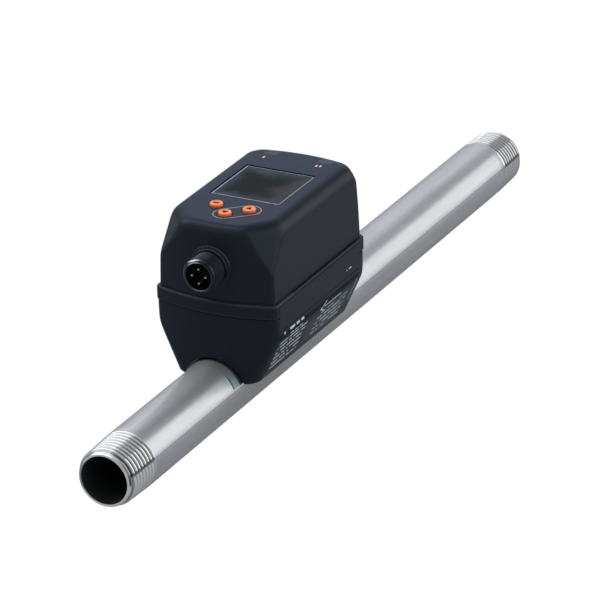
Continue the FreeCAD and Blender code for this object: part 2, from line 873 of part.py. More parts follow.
def connector_seal():
    body = new_body("connector_seal")
    bind(body, "Placement.Base.z", "connector_height")
    sketch = circle(new_sketch(body, "XZ_Plane", out="seat_place"), "0", "0", "seal_radius + seal_width / 2 - press_gap")
    circle(sketch, "0", "0", "seal_radius - seal_width / 2 + press_gap")
    pad(body, sketch, "seal_width")
    return body


def pin_places():
    return [("pin_place", "0"), ("-pin_place", "0"), ("0", "pin_place"), ("0", "-pin_place")]


def connector_insert():
    body = new_body("connector_insert")
    bind(body, "Placement.Base.z", "connector_height")
    sketch = circle(new_sketch(body, "XZ_Plane", out="neck_end"), "0", "0", "connector_bore / 2 - press_gap")
    for x, y in pin_places():
        circle(sketch, x, y, "pin_radius + press_gap")
    pad(body, sketch, "neck_length + connector_reach - insert_depth")
    return body


def connector_pins():
    body = new_body("connector_pins")
    bind(body, "Placement.Base.z", "connector_height")
    sketch = new_sketch(body, "XZ_Plane", out="connector_board_place - 1")
    for x, y in pin_places():
        circle(sketch, x, y, "pin_radius")
    pad(body, sketch, "seat_place + connector_reach - pin_recess - connector_board_place + 1")
    return body


def connector_board():
    body = new_body("connector_board")
    bind(body, "Placement.Base.z", "connector_height")
    across, high = "connector_board_width / 2", "connector_board_height / 2"
    sketch = rectangle(new_sketch(body, "XZ_Plane", out="connector_board_place"), f"-{across}", f"-{high}", across, high)
    for x, y in pin_places():
        circle(sketch, x, y, "pin_radius + press_gap")
    pad(body, sketch, "board_thickness")
    return body


def connector_nut():
    body = new_body("connector_nut")
    bind(body, "Placement.Base.z", "connector_height")
    flat = "connector_nut_flats"
    corners = [(f"{flat} / sqrt(3) * cos({turn})", f"{flat} / sqrt(3) * sin({turn})") for turn in range(0, 360, 60)]
    sketch = polygon(new_sketch(body, "XZ_Plane", out="inner_seat"), corners)
    circle(sketch, "0", "0", "neck_radius + thread_gap")
    pad(body, sketch, "connector_nut_height", back=True)
    return body


# Thin film that follows the flat side of the head over its crease.
def side_label():
    body = new_body("side_label")
    side = "head_width / 2"
    film = "film_thickness"
    run_in, run_down = "film_run * sin(side_turn)", "film_run * cos(side_turn)"
    sketch = polygon(new_sketch(body, "XZ_Plane"), [
        (side, "seam_height - film_top_gap"),
        (side, "crease_height"),
        (f"{side} - {run_in}", f"crease_height - {run_down}"),
        (f"{side} - {run_in} + {film} * cos(side_turn)", f"crease_height - {run_down} - {film} * sin(side_turn)"),
        (f"{side} + {film}", f"crease_height - {film} * tan(side_turn / 2)"),
        (f"{side} + {film}", "seam_height - film_top_gap"),
    ])
    pad(body, sketch, "film_length", both=True)
    return body


cover = cover_outline()
seal_top = "seam_height - tongue_height"
parts = [
    measuring_tube(),
    sensor_boss(),
    tube_saddle(),
    probe_body(),
    sensor_element("heated_sensor", "element_place"),
    sensor_element("reference_sensor", "-element_place"),
    probe_header(),
    probe_leads(),
    probe_seal(),
    probe_screws(),
    head_nut(),
    lower_housing(),
    seam_ring("housing_seal", seal_top, "seal_height", "slide_gap"),
    upper_housing(cover),
    display_window(),
    display_module(),
    display_board(),
    switches(),
    indicator_leds(),
    light_guide("light_guide_right", cover, ""),
    light_guide("light_guide_left", cover, "-"),
    main_board(),
    board_screws(),
    board_link(),
    connector_link(),
    connector_shell(),
    connector_insert(),
    connector_pins(),
    connector_seal(),
    connector_nut(),
    connector_board(),
    side_label(),
]
parts += [push_button(name) for name in button_places()]
doc.recompute()

for item in doc.Objects:
    if "Invalid" in item.State or "Error" in item.State:
        print("broken:", item.Name, item.State)

os.makedirs("parts", exist_ok=True)
facets = 0
for part in parts:
    shape = part.Shape
    if shape.isNull() or not shape.isValid():
        print("bad shape:", part.Label)
        continue
    shape.exportStep(f"parts/{part.Label}.step")
    facets += len(shape.tessellate(0.1)[1])
    box = shape.BoundBox
    print(f"{part.Label}: {len(shape.Solids)} solids, {shape.Volume:.1f} mm3, "
          f"x {box.XMin:.2f} to {box.XMax:.2f}, y {box.YMin:.2f} to {box.YMax:.2f}, z {box.ZMin:.2f} to {box.ZMax:.2f}")
print("nodes", len(parts), "facets", facets)
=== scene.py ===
import bpy, bmesh, math
from mathutils import Matrix, Vector


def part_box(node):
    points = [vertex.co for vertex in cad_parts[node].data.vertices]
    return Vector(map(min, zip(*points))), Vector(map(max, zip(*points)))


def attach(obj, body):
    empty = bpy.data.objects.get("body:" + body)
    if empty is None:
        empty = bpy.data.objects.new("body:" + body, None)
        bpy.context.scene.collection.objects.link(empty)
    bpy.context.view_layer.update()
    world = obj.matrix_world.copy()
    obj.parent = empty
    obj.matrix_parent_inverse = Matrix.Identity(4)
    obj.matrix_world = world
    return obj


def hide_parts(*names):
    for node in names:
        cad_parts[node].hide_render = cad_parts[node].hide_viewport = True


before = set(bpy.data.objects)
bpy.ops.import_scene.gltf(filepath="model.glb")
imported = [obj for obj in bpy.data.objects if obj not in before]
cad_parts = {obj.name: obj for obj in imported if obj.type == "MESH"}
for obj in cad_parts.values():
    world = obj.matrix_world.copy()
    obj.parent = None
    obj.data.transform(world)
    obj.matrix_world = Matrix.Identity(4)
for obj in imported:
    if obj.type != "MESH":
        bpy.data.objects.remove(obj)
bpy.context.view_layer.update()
mm = 0.001
headMiddle = 110.55  # the head's middle along the tube
print("frame loaded:", len(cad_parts), "nodes")

photoView = {  # the camera fitted to the photo: place in millimetres, angles in degrees
    "place": (642.89, -1090.16, 625.63), "turn": 27.632, "rise": 24.054, "roll": -1.407, "lens": 265.06, "sensor": 36}


def addObject(name, data):
    made = bpy.data.objects.new(name, data)
    bpy.context.collection.objects.link(made)
    return made


def makeCamera():
    turn, rise, roll = (math.radians(photoView[angle]) for angle in ("turn", "rise", "roll"))
    back = Vector((math.sin(turn) * math.cos(rise), -math.cos(turn) * math.cos(rise), math.sin(rise)))
    right = Vector((math.cos(turn), math.sin(turn), 0))
    up = back.cross(right)
    across = right * math.cos(roll) + up * math.sin(roll)
    upward = up * math.cos(roll) - right * math.sin(roll)
    axes = Matrix((across, upward, back)).transposed()
    camera = addObject("camera", bpy.data.cameras.new("camera"))
    camera.matrix_world = Matrix.Translation(Vector(photoView["place"]) * mm) @ axes.to_4x4()
    camera.data.lens = photoView["lens"]
    camera.data.sensor_width = photoView["sensor"]
    camera.data.clip_start, camera.data.clip_end = 0.05, 20
    bpy.context.scene.camera = camera


class Wire:  # one socket of a node tree, so that shader maths reads as a plain sum
    def __init__(self, tree, socket):
        self.tree, self.socket = tree, socket

    def work(self, operation, *values, clamp=False):
        node = self.tree.nodes.new("ShaderNodeMath")
        node.operation, node.use_clamp = operation, clamp
        for place, value in enumerate(values):
            plug(self.tree, node.inputs[place], value)
        return Wire(self.tree, node.outputs[0])

    def __add__(self, other): return self.work("ADD", self, other)
    def __radd__(self, other): return self.work("ADD", other, self)
    def __sub__(self, other): return self.work("SUBTRACT", self, other)
    def __rsub__(self, other): return self.work("SUBTRACT", other, self)
    def __mul__(self, other): return self.work("MULTIPLY", self, other)
    def __rmul__(self, other): return self.work("MULTIPLY", other, self)
    def __truediv__(self, other): return self.work("DIVIDE", self, other)
    def __pow__(self, other): return self.work("POWER", self, other)
    def __gt__(self, other): return self.work("GREATER_THAN", self, other)
    def __lt__(self, other): return self.work("LESS_THAN", self, other)
    def __abs__(self): return self.work("ABSOLUTE", self)
    def clamp(self): return self.work("ADD", self, 0, clamp=True)
    def most(self, other): return self.work("MAXIMUM", self, other)
    def least(self, other): return self.work("MINIMUM", self, other)
    def floor(self): return self.work("FLOOR", self)
    def sine(self): return self.work("SINE", self)


def plug(tree, target, value):
    if isinstance(value, Wire):
        tree.links.new(value.socket, target)
    elif target.type == "RGBA" and len(value) == 3:
        target.default_value = (*value, 1)
    else:
        target.default_value = value


class Finish:  # a node tree with one way to add any node
    def __init__(self, name, owner=None):
        self.owner = owner or bpy.data.materials.new(name)
        self.owner.use_nodes = True
        self.tree = self.owner.node_tree
        self.tree.nodes.clear()

    def node(self, kind, settings=None, sockets=None, output=0):
        made = self.tree.nodes.new("ShaderNode" + kind)
        for name, value in (settings or {}).items():
            setattr(made, name, value)
        for name, value in (sockets or {}).items():
            plug(self.tree, made.inputs[name], value)
        return Wire(self.tree, made.outputs[output])

    def place(self):
        return self.node("TexCoord", output="Object")

    def ray(self, kind):
        return self.node("LightPath", output="Is " + kind + " Ray")

    def mirrored(self):  # 1 on rays that come off a mirror or through glass
        return self.ray("Glossy").most(self.ray("Transmission"))

    def axes(self):  # x, y and z in millimetres
        spread = self.node("VectorMath", {"operation": "SCALE"}, {0: self.place(), "Scale": 1000.0})
        split = self.tree.nodes.new("ShaderNodeSeparateXYZ")
        self.tree.links.new(spread.socket, split.inputs[0])
        return [Wire(self.tree, split.outputs[axis]) for axis in range(3)]

    def noise(self, scale, detail=3, roughness=0.55, stretch=None):
        place = self.place()
        if stretch:
            place = self.node("Mapping", sockets={"Vector": place, "Scale": stretch})
        sockets = {"Vector": place, "Scale": scale, "Detail": detail, "Roughness": roughness}
        return self.node("TexNoise", sockets=sockets)

    def mix(self, share, first, second):
        return self.node("Mix", {"data_type": "RGBA"}, {0: share, 6: first, 7: second}, output=2)

    def step(self, value, low, high):  # 0 below low, 1 above high, soft between
        return self.node("MapRange", {"interpolation_type": "SMOOTHSTEP"}, {0: value, 1: low, 2: high})

    def bump(self, height, distance):
        return self.node("Bump", sockets={"Height": height, "Distance": distance * mm}, output="Normal")

    def brushed(self, y, strength):  # fine turning marks: the light spreads along the tube only
        waves = (y * 20.3).sine() + (y * 13.1).sine()
        tilt = self.node("CombineXYZ", sockets={"Y": waves * strength})
        normal = self.node("NewGeometry", output="Normal")
        tilted = self.node("VectorMath", {"operation": "ADD"}, {0: normal, 1: tilt})
        return self.node("VectorMath", {"operation": "NORMALIZE"}, {0: tilted})

    def surface(self, **sockets):
        shader = self.node("BsdfPrincipled", sockets={name.replace("_", " "): value for name, value in sockets.items()})
        self.end(shader)
        return self.owner

    def end(self, shader):
        kind = "ShaderNodeOutputMaterial" if isinstance(self.owner, bpy.types.Material) else "ShaderNodeOutputWorld"
        last = self.tree.nodes.new(kind)
        self.tree.links.new(shader.socket, last.inputs["Surface"])


studio = {
    "white": 1.0,  # what the camera sees behind the object
    "mirrored": 0.34,  # what metal and glass see of it, between the lamps
    "mirroredFloor": 0.25,
    "ambient": 0.50,  # what lights the object from all round
    "skyColour": (0.86, 0.92, 1.0),
    "floorColour": (0.46, 0.47, 0.50),
    "floorWhite": 1.06,
    "floorLevel": -10.7,
    "floorRadius": 900,
    "floorMirrored": 0.35,  # how much of the white metal and glass see in the floor
    "shadow": 0.07,  # how much of the floor's own shading shows under the white
    "lampDistance": 0.80,
    "lamps": {  # direction across the tube; middle along it, length and width in metres; brightness and colour
        "leftStrip": {"toward": (-0.60, 0.80), "middle": 0.90, "length": 3.8, "width": 1.02,
                      "bright": 0.48, "colour": (0.92, 0.95, 1.0)},
        "rightStrip": {"toward": (0.91, 0.41), "middle": 0.93, "length": 2.35, "width": 0.86,
                       "bright": 1.24, "colour": (0.99, 1.0, 0.985)},
        "overhead": {"toward": (-0.50, 0.86), "middle": 0.06, "length": 0.36, "width": 1.05,
                     "bright": 1.8, "colour": (0.97, 0.985, 1.0)},
    },
}


def makeStudio():
    scene = bpy.context.scene
    scene.view_settings.view_transform = "Standard"
    scene.world = scene.world or bpy.data.worlds.new("world")
    sky = Finish("world", scene.world)
    camera, shiny = sky.ray("Camera"), sky.mirrored()
    level = camera * studio["white"] + (1 - camera) * (shiny * studio["mirrored"] + (1 - shiny) * studio["ambient"])
    colour = sky.mix(camera, studio["skyColour"], (1, 1, 1))
    sky.end(sky.node("Background", sockets={"Color": colour, "Strength": level}))

    bm = bmesh.new()
    bmesh.ops.create_circle(bm, cap_ends=True, radius=studio["floorRadius"] * mm, segments=96)
    bmesh.ops.translate(bm, verts=bm.verts, vec=(0, tube["length"] / 2 * mm, studio["floorLevel"] * mm))
    mesh = bpy.data.meshes.new("floor")
    bm.to_mesh(mesh)
    floor = addObject("floor", mesh)
    paint = Finish("floor_paper")
    lit = paint.node("BsdfDiffuse", sockets={"Color": studio["floorColour"], "Roughness": 0.6})
    seen, shiny = paint.ray("Camera"), paint.mirrored()
    glow = seen * studio["floorWhite"] + shiny * studio["mirroredFloor"]
    white = paint.node("Emission", sockets={"Color": (1, 1, 1), "Strength": glow})
    share = seen * (1 - studio["shadow"]) + shiny * studio["floorMirrored"]
    paint.end(paint.node("MixShader", sockets={0: share, 1: lit, 2: white}))
    mesh.materials.append(paint.owner)

    for name, strip in studio["lamps"].items():
        lamp = addObject(name, bpy.data.lights.new(name, "AREA"))
        lamp.data.shape = "RECTANGLE"
        lamp.data.size, lamp.data.size_y = strip["length"], strip["width"]
        lamp.data.color = strip["colour"]
        lamp.data.energy = strip["bright"] * math.pi * strip["length"] * strip["width"]
        lamp.visible_camera = False
        away = Vector((strip["toward"][0], 0, strip["toward"][1])).normalized()
        place = Vector((0, strip["middle"], 0)) + away * studio["lampDistance"]
        lamp.matrix_world = Matrix.Translation(place) @ away.to_track_quat("Z", "Y").to_matrix().to_4x4()
    print("studio ready")


def mouldedPlastic(name, dark, light, roughness, shine=0.5):
    finish = Finish(name)
    fine, broad = finish.noise(1800, 4), finish.noise(35, 2)
    return finish.surface(
        Base_Color=finish.mix(broad, dark, light),
        Roughness=roughness + (broad - 0.5) * 0.08 + (fine - 0.5) * 0.06,
        Normal=finish.bump(fine, 0.02), Specular_IOR_Level=shine)


def groundSteel(name, colour, roughness):
    finish = Finish(name)
    marks = finish.noise(260, 5, 0.7, stretch=(1, 6, 1))
    return finish.surface(Base_Color=finish.mix(marks, [c * 0.9 for c in colour], colour), Metallic=1.0,
                          Roughness=roughness + (marks - 0.5) * 0.1, Normal=finish.bump(marks, 0.01))


def tubeSteel():
    finish = Finish("tube_steel")
    x, y, z = finish.axes()
    radius = (x * x + z * z) ** 0.5
    fromEnd = y.least(tube["length"] - y)
    threaded = 1 - finish.step(fromEnd, 15.2, 15.8)  # the threads and the end are brighter than the ground tube
    # painted shade: the bore is near black and dull
    inside = 1 - finish.step(radius, 8.40, 8.52)
    marks = finish.noise(420, 5, 0.7, stretch=(1, 5, 1))
    clouds = finish.noise(24, 3)
    streaks = finish.noise(300, 4, 0.7, stretch=(1, 0.05, 1))  # fine drawing lines along the tube
    offset = x * 0.28 - z * 0.96  # distance across a painted reflection edge along the tube; the steel is painted darker just under it, with a thin dark line on the edge
    seam = finish.step(offset, -0.15, 0.1) * (1 - finish.step(offset, 1.0, 7.5)) * 0.26
    seam = seam.most((abs(offset) < 0.2) * 0.6) * (x > 0)
    pale = (marks * 0.5 + clouds * 0.4 + streaks * 1.3 - 0.6).clamp()
    ground = finish.mix(pale, (0.56, 0.56, 0.57), (0.80, 0.80, 0.805))
    ground = finish.mix(seam, ground, (0.25, 0.25, 0.25))
    # the thread has pale crests, duller at the far end, and painted shade in its grooves, darkest on the upper right
    crest = tube["radius"] - (tube["threadEnd"] - fromEnd).most(0) * tube["taper"]
    groove = finish.step((crest - radius) / tube["depth"], 0.20, 0.80) * finish.step(fromEnd, 1.0, 2.4)
    right, high = x / radius, z / radius
    deep = finish.step(right, 0.05, 0.5) * (0.5 + finish.step(high, 0.20, 0.30) * 0.5)
    plain = finish.mix(finish.step(y, 150, 152), (0.94, 0.925, 0.90), (0.70, 0.69, 0.68))
    bright = finish.mix(groove, plain, finish.mix(deep, (0.66, 0.65, 0.63), (0.02, 0.018, 0.016)))
    # painted shade on the far left of the thread
    bright = finish.mix(finish.step(0 - right, 0.72, 0.96) * 0.6, bright, (0.10, 0.10, 0.10))
    # the painted reflection edge runs on across the thread as a dark line
    paintedReflectionLine = (1 - finish.step(abs(offset), 0.35, 0.8)) * (x > 0) * 0.75 * (fromEnd > 1.6)
    bright = finish.mix(paintedReflectionLine, bright, (0.03, 0.03, 0.03))
    # painted shade: the cone before the thread is darker on both sides
    rimShade = finish.step(right, 0.45, 0.75) * finish.step(high, -0.15, 0.05)
    rimShade += finish.step(0 - right, 0.40, 0.55) * 0.85
    cone = finish.step(fromEnd, 0.12, 0.3) * (1 - finish.step(fromEnd, 1.2, 1.9)) * (radius > 8.7)
    bright = finish.mix(cone * rimShade.clamp() * 0.9, bright, (0.03, 0.03, 0.03))
    rough = 0.29 - threaded * 0.16 + (1 - finish.step(fromEnd, 1.3, 2.2)) * 0.13 + (marks - 0.5) * 0.08
    return finish.surface(
        Base_Color=finish.mix(inside, finish.mix(threaded, ground, bright), (0.006, 0.006, 0.007)),
        Metallic=0.8 * (1 - inside),
        Roughness=rough * (1 - inside) + inside * 0.9,
        Normal=finish.brushed(y, (1 - threaded) * 0.22))


def windowGlass():  # soft fields of colour stand for reflections
    finish = Finish("window_glass")
    x, y, z = finish.axes()
    across, along = x / 12.8, (y - headMiddle - 2.8) / 13.2  # -1 to 1 over the window
    clouds = finish.noise(95, 4, 0.6) - 0.5
    reach = abs(across + 0.1).most(abs(along + 0.05)) + clouds * 0.9
    pale = finish.step(reach, 0.42, 1.0)
    tint = finish.mix((across * 0.5 + 0.5 + clouds * 0.5).clamp(), (0.036, 0.056, 0.084), (0.041, 0.042, 0.048))
    blush = 1 - finish.step(abs(across - 0.5) + abs(along + 0.15) * 1.4 + clouds, 0.1, 0.6)
    middle = finish.mix(blush * 0.8, (0.004, 0.006, 0.008), (0.050, 0.022, 0.022))
    return finish.surface(Base_Color=finish.mix(pale, middle, tint), Roughness=0.2, Specular_IOR_Level=0.03)


labelPrint = [  # dashes that stand for print: front, rear, low, high; pitch, share, dash, fill; ink
    ((-27.3, -13.0, 20.7, 21.7), (1.0, 1, 1.15, 0.62), 0.95),
    ((-22.5, -13.2, 18.95, 19.55), (0.6, 1, 0.8, 0.7), 0.7),
    ((-29.0, -9.0, 6.6, 18.2), (2.0, 0.36, 1.1, 0.78), 0.72),
    ((1.0, 22.0, 8.0, 16.6), (2.0, 0.34, 1.2, 0.66), 0.6),
    ((17.5, 22.3, 25.25, 25.7), (0.45, 1, 0.6, 0.7), 0.8),
]


def labelFilm():
    finish = Finish("label_film")
    x, y, z = finish.axes()
    along = y - headMiddle

    def area(front, rear, low, high):
        return (along > front) * (along < rear) * (z > low) * (z < high)

    def rows(top, pitch, share, dash, fill):
        down = (top - z) / pitch
        line = down.floor()
        cell = finish.node("CombineXYZ", sockets={"X": (along / dash).floor(), "Y": line})
        chance = finish.node("TexWhiteNoise", {"noise_dimensions": "2D"}, {"Vector": cell})
        return ((down - line) < share) * (chance < fill)

    arrow = area(3.0, 15.5, 18.35, 18.75) + (abs(abs(z - 18.5) - (along - 0.2) * 0.48) < 0.25) * area(0, 4.2, 16, 21)
    printAndPaintedGlint = arrow * 0.8 + area(26.4, 27.5, 10.5, 19.5) * 0.25  # the flow arrow, and a painted glint at the rear
    for place, lines, strength in labelPrint:
        printAndPaintedGlint += area(*place) * rows(place[3], *lines) * strength
    # a painted sheen on the lower part of the slant
    paintedSheen = finish.step(along, -13, 2) * (1 - finish.step(along, 18, 28)) * (1 - finish.step(z, 13, 20))
    paintedSheen *= finish.noise(60, 2)
    base = finish.mix(paintedSheen, (0.0090, 0.0115, 0.0150), (0.10, 0.12, 0.14))
    return finish.surface(
        Base_Color=finish.mix(printAndPaintedGlint.clamp(), base, (0.66, 0.75, 0.80)), Roughness=0.46,
        Specular_IOR_Level=0.34, Specular_Tint=(0.6, 0.8, 1.0), Normal=finish.bump(finish.noise(900, 3), 0.006))


def scaled(box):  # from metres to millimetres
    return [[value / mm for value in corner] for corner in box]


def centreOf(low, high):  # in x and y, in millimetres
    return (low.x + high.x) / 2 / mm, (low.y + high.y) / 2 / mm


def vertsOf(made):
    return [item for item in made if isinstance(item, bmesh.types.BMVert)]


def edgesOf(made):
    return [item for item in made if isinstance(item, bmesh.types.BMEdge)]


def weld(bm):
    bmesh.ops.remove_doubles(bm, verts=bm.verts, dist=0.0005 * mm)


def pullOut(bm, faces, way):  # draws faces out by a vector in millimetres
    made = bmesh.ops.extrude_face_region(bm, geom=faces)["geom"]
    bmesh.ops.translate(bm, verts=vertsOf(made), vec=[value * mm for value in way])


def showPiece(shape, name, body, finish, replaced=(), sharp=35):  # shape is a bmesh or a mesh that is closed
    mesh = closeMesh(shape, name) if isinstance(shape, bmesh.types.BMesh) else shape
    piece = addObject(name, mesh)
    mesh.materials.clear()
    mesh.materials.append(finish)
    mesh.shade_smooth()
    mesh.set_sharp_from_angle(angle=math.radians(sharp))
    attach(piece, body)
    if replaced:
        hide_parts(*replaced)
    return piece


def closeMesh(bm, name):
    weld(bm)
    bmesh.ops.recalc_face_normals(bm, faces=bm.faces)
    mesh = bpy.data.meshes.new(name)
    bm.to_mesh(mesh)
    bm.free()
    return mesh


tube = {"radius": 10.65, "bore": 8.05, "length": 300, "rim": 9.12, "cone": 2.3, "pitch": 1.814, "depth": 1.08,
        "turns": 8, "threadStart": 0.9, "threadEnd": 15.5, "runOut": 1.6, "taper": 1 / 32, "steps": 120,
        "coneFrom": 0.7, "plainFrom": 19.2, "boreTo": 12}
toothShape = [(0, 0), (0.05, 0.03), (0.11, 0.14), (0.34, 0.86), (0.41, 0.98), (0.5, 1),  # parts of pitch and height
              (0.59, 0.98), (0.66, 0.86), (0.89, 0.14), (0.95, 0.03)]
rimShape = [(9.16, 0.12), (9.06, 0.03), (8.96, 0), (8.60, 0), (8.48, 0.05), (8.25, 0.4)]  # radius, place along


def radiusAt(y):  # the outside of the tube without its thread grooves
    tapered = tube["radius"] - max(0, tube["threadEnd"] - y) * tube["taper"]
    small = tube["radius"] - (tube["threadEnd"] - tube["cone"]) * tube["taper"]
    return min(tapered, tube["rim"] + (small - tube["rim"]) * y / tube["cone"])


def softStep(value, low, high):
    share = min(1, max(0, (value - low) / (high - low)))
    return share * share * (3 - 2 * share)


def extend(bm, edges, radius, y):  # pulls a round edge out to the next ring
    made = bmesh.ops.extrude_edge_only(bm, edges=edges)["geom"]
    for vert in vertsOf(made):
        size = math.hypot(vert.co.x, vert.co.z)
        vert.co = (vert.co.x * radius * mm / size, y * mm, vert.co.z * radius * mm / size)
    return edgesOf(made)


def makeTube():
    bm = bmesh.new()
    floor, start, pitch = tube["radius"] - 1, tube["threadStart"], tube["pitch"]
    corners = [bm.verts.new(((floor + high) * mm, (start + along * pitch) * mm, 0)) for along, high in toothShape]
    corners.append(bm.verts.new((floor * mm, (start + pitch) * mm, 0)))
    for first, second in zip(corners, corners[1:]):
        bm.edges.new((first, second))
    tooth = bm.verts[:] + bm.edges[:]
    for turn in range(1, tube["turns"]):
        copy = bmesh.ops.duplicate(bm, geom=tooth)["geom"]
        bmesh.ops.translate(bm, verts=vertsOf(copy), vec=(0, turn * pitch * mm, 0))
    weld(bm)
    bmesh.ops.spin(bm, geom=bm.verts[:] + bm.edges[:], cent=(0, 0, 0), axis=(0, 1, 0), angle=math.tau,
                   steps=tube["steps"], dvec=(0, pitch * mm / tube["steps"], 0), use_merge=False)
    weld(bm)
    for vert in bm.verts:  # taper, and grooves that fade out at both ends
        y, size = vert.co.y / mm, math.hypot(vert.co.x, vert.co.z)
        high = size / mm - floor
        depth = tube["depth"] * softStep(y, start, start + 0.4)
        depth *= 1 - softStep(y, tube["threadEnd"] - tube["runOut"] / 2, tube["threadEnd"] + tube["runOut"] / 2)
        radius = min(radiusAt(y), radiusAt(max(y, tube["cone"])) - depth * (1 - high)) * mm / size
        vert.co = (vert.co.x * radius, vert.co.y, vert.co.z * radius)
    # the groove starts underneath
    bmesh.ops.rotate(bm, verts=bm.verts, cent=(0, 0, 0), matrix=Matrix.Rotation(math.pi / 2, 3, "Y"))
    middle = (start + tube["threadEnd"]) / 2 * mm
    rims = [edge for edge in bm.edges if edge.is_boundary]
    extend(bm, [edge for edge in rims if edge.verts[0].co.y > middle], tube["radius"], tube["plainFrom"])
    inner = [edge for edge in rims if edge.verts[0].co.y < middle]
    extend(bm, inner, radiusAt(tube["coneFrom"]), tube["coneFrom"])
    weld(bm)
    ring = [edge for edge in bm.edges if edge.is_boundary and edge.verts[0].co.y < middle]
    for radius, y in [(radiusAt(0.3), 0.3), *rimShape, (tube["bore"], 0.9), (tube["bore"], tube["boreTo"])]:
        ring = extend(bm, ring, radius, y)
    far = bmesh.ops.duplicate(bm, geom=bm.verts[:] + bm.edges[:] + bm.faces[:])["geom"]
    centre = (0, tube["length"] / 2 * mm, 0)
    bmesh.ops.rotate(bm, verts=vertsOf(far), cent=centre, matrix=Matrix.Rotation(math.pi, 3, "Z"))
    rims = [edge for edge in bm.edges if edge.is_boundary]
    outside = {edge: math.hypot(edge.verts[0].co.x, edge.verts[0].co.z) > 9 * mm for edge in rims}
    for wanted in (True, False):
        bmesh.ops.bridge_loops(bm, edges=[edge for edge in rims if outside[edge] == wanted])
    piece = showPiece(bm, "threadedTube", "meter", tubeSteel(), ("measuring_tube",), sharp=50)
    print("tube made:", len(piece.data.polygons), "faces")


head = {"length": 73.9, "width": 45.2, "bow": 4.0, "seam": 32.9, "cutTurn": 40, "cornerSteps": 6, "bowSteps": 14}
bowRadius = (head["width"] ** 2 / 4 + head["bow"] ** 2) / (2 * head["bow"])
bowCentre = bowRadius - head["length"] / 2


def cornerPoints(side, reach, cut, round):  # one rounded corner from the side's middle line to the bow's middle
    turn = math.radians(head["cutTurn"])
    across, along = math.cos(turn), math.sin(turn)
    x, circle = side - round, reach - round
    y = math.sqrt(circle ** 2 - x ** 2) - bowCentre
    first = second = (x, y)
    if cut is not None and (cut - round) < across * x + along * y:
        line = cut - round
        first = (x, (line - x * across) / along)
        base = (line * across, line * along + bowCentre)
        half = -across * base[1] + along * base[0]
        slide = half + math.sqrt(half ** 2 + circle ** 2 - base[0] ** 2 - base[1] ** 2)
        second = (line * across - slide * along, line * along + slide * across)
    end = math.atan2(second[1] + bowCentre, second[0])
    points = []
    for centre, low, high in ((first, 0, turn), (second, turn, end)):
        for k in range(head["cornerSteps"] + 1):
            angle = low + (high - low) * k / head["cornerSteps"]
            points.append((centre[0] + round * math.cos(angle), centre[1] + round * math.sin(angle)))
    for k in range(1, head["bowSteps"] + 1):
        angle = end + (math.pi / 2 - end) * k / head["bowSteps"]
        points.append((reach * math.cos(angle), reach * math.sin(angle) - bowCentre))
    return points


def levelRing(z, side, reach, cuts, rounds):  # cuts and rounds of the front and the rear corners
    front, rear = (cornerPoints(side, reach, cut, round) for cut, round in zip(cuts, rounds))
    ring = rear + [(-x, y) for x, y in reversed(rear[:-1])]
    ring += [(-x, -y) for x, y in front] + [(x, -y) for x, y in reversed(front[:-1])]
    return [Vector((x * mm, (y + headMiddle) * mm, z * mm)) for x, y in ring]


def loft(levels):  # a closed body through rings of the same count, from the lowest to the highest
    bm = bmesh.new()
    bmesh.ops.create_circle(bm, segments=len(levels[0]), radius=1, cap_ends=False)
    bm.verts.ensure_lookup_table()
    ring = {vert: k for k, vert in enumerate(bm.verts)}
    for vert, k in ring.items():
        vert.co = levels[0][k]
    bottom = edges = bm.edges[:]
    for level in levels[1:]:
        made = bmesh.ops.extrude_edge_only(bm, edges=edges)["geom"]
        edges = edgesOf(made)
        upper = {}
        for vert in vertsOf(made):
            upper[vert] = next(ring[edge.other_vert(vert)] for edge in vert.link_edges if edge.other_vert(vert) in ring)
            vert.co = level[upper[vert]]
        ring = upper
    bmesh.ops.contextual_create(bm, geom=bottom)
    bmesh.ops.contextual_create(bm, geom=edges)
    return bm


def objectOf(bm, name):
    return addObject(name, closeMesh(bm, name))


def cutAway(obj, cutters):  # takes the cutters out of obj for good
    for cutter in cutters:
        carve = obj.modifiers.new(cutter.name, "BOOLEAN")
        carve.operation, carve.object, carve.solver = "DIFFERENCE", cutter, "EXACT"
    bpy.context.view_layer.update()
    mesh = bpy.data.meshes.new_from_object(obj.evaluated_get(bpy.context.evaluated_depsgraph_get()))
    for item in [obj, *cutters]:
        bpy.data.objects.remove(item)
    return mesh


def boxMesh(low, high):
    bm = bmesh.new()
    bmesh.ops.create_cube(bm, size=1)
    bmesh.ops.scale(bm, vec=[(b - a) * mm for a, b in zip(low, high)], verts=bm.verts)
    bmesh.ops.translate(bm, vec=[(a + b) / 2 * mm for a, b in zip(low, high)], verts=bm.verts)
    return bm


def block(name, low, high, round=0.0):  # a box with rounded upright edges
    bm = boxMesh(low, high)
    if round:
        tall = 0.5 * (high[2] - low[2]) * mm
        upright = [edge for edge in bm.edges if abs(edge.verts[0].co.z - edge.verts[1].co.z) > tall]
        bmesh.ops.bevel(bm, geom=upright, offset=round * mm, segments=5, profile=0.5, affect="EDGES", material=-1)
    return objectOf(bm, name)


def turned(profile, centre, axis="Z", steps=64):  # a closed turned body; profile is (radius, along) from axis to axis
    bm = bmesh.new()
    verts = [bm.verts.new((radius * mm, 0, along * mm)) for radius, along in profile]
    for first, second in zip(verts, verts[1:]):
        bm.edges.new((first, second))
    bmesh.ops.spin(bm, geom=bm.verts[:] + bm.edges[:], cent=(0, 0, 0), axis=(0, 0, 1), angle=math.tau, steps=steps,
                   use_merge=True)
    if axis == "-Y":
        bmesh.ops.rotate(bm, verts=bm.verts, cent=(0, 0, 0), matrix=Matrix.Rotation(math.pi / 2, 3, "X"))
    bmesh.ops.translate(bm, verts=bm.verts, vec=[value * mm for value in centre])
    return bm


def rod(name, radius, low, high, axis="Z", steps=64):  # a round cutter through the head's middle
    return objectOf(turned([(0, low), (radius, low), (radius, high), (0, high)], (0, headMiddle, 0), axis, steps), name)


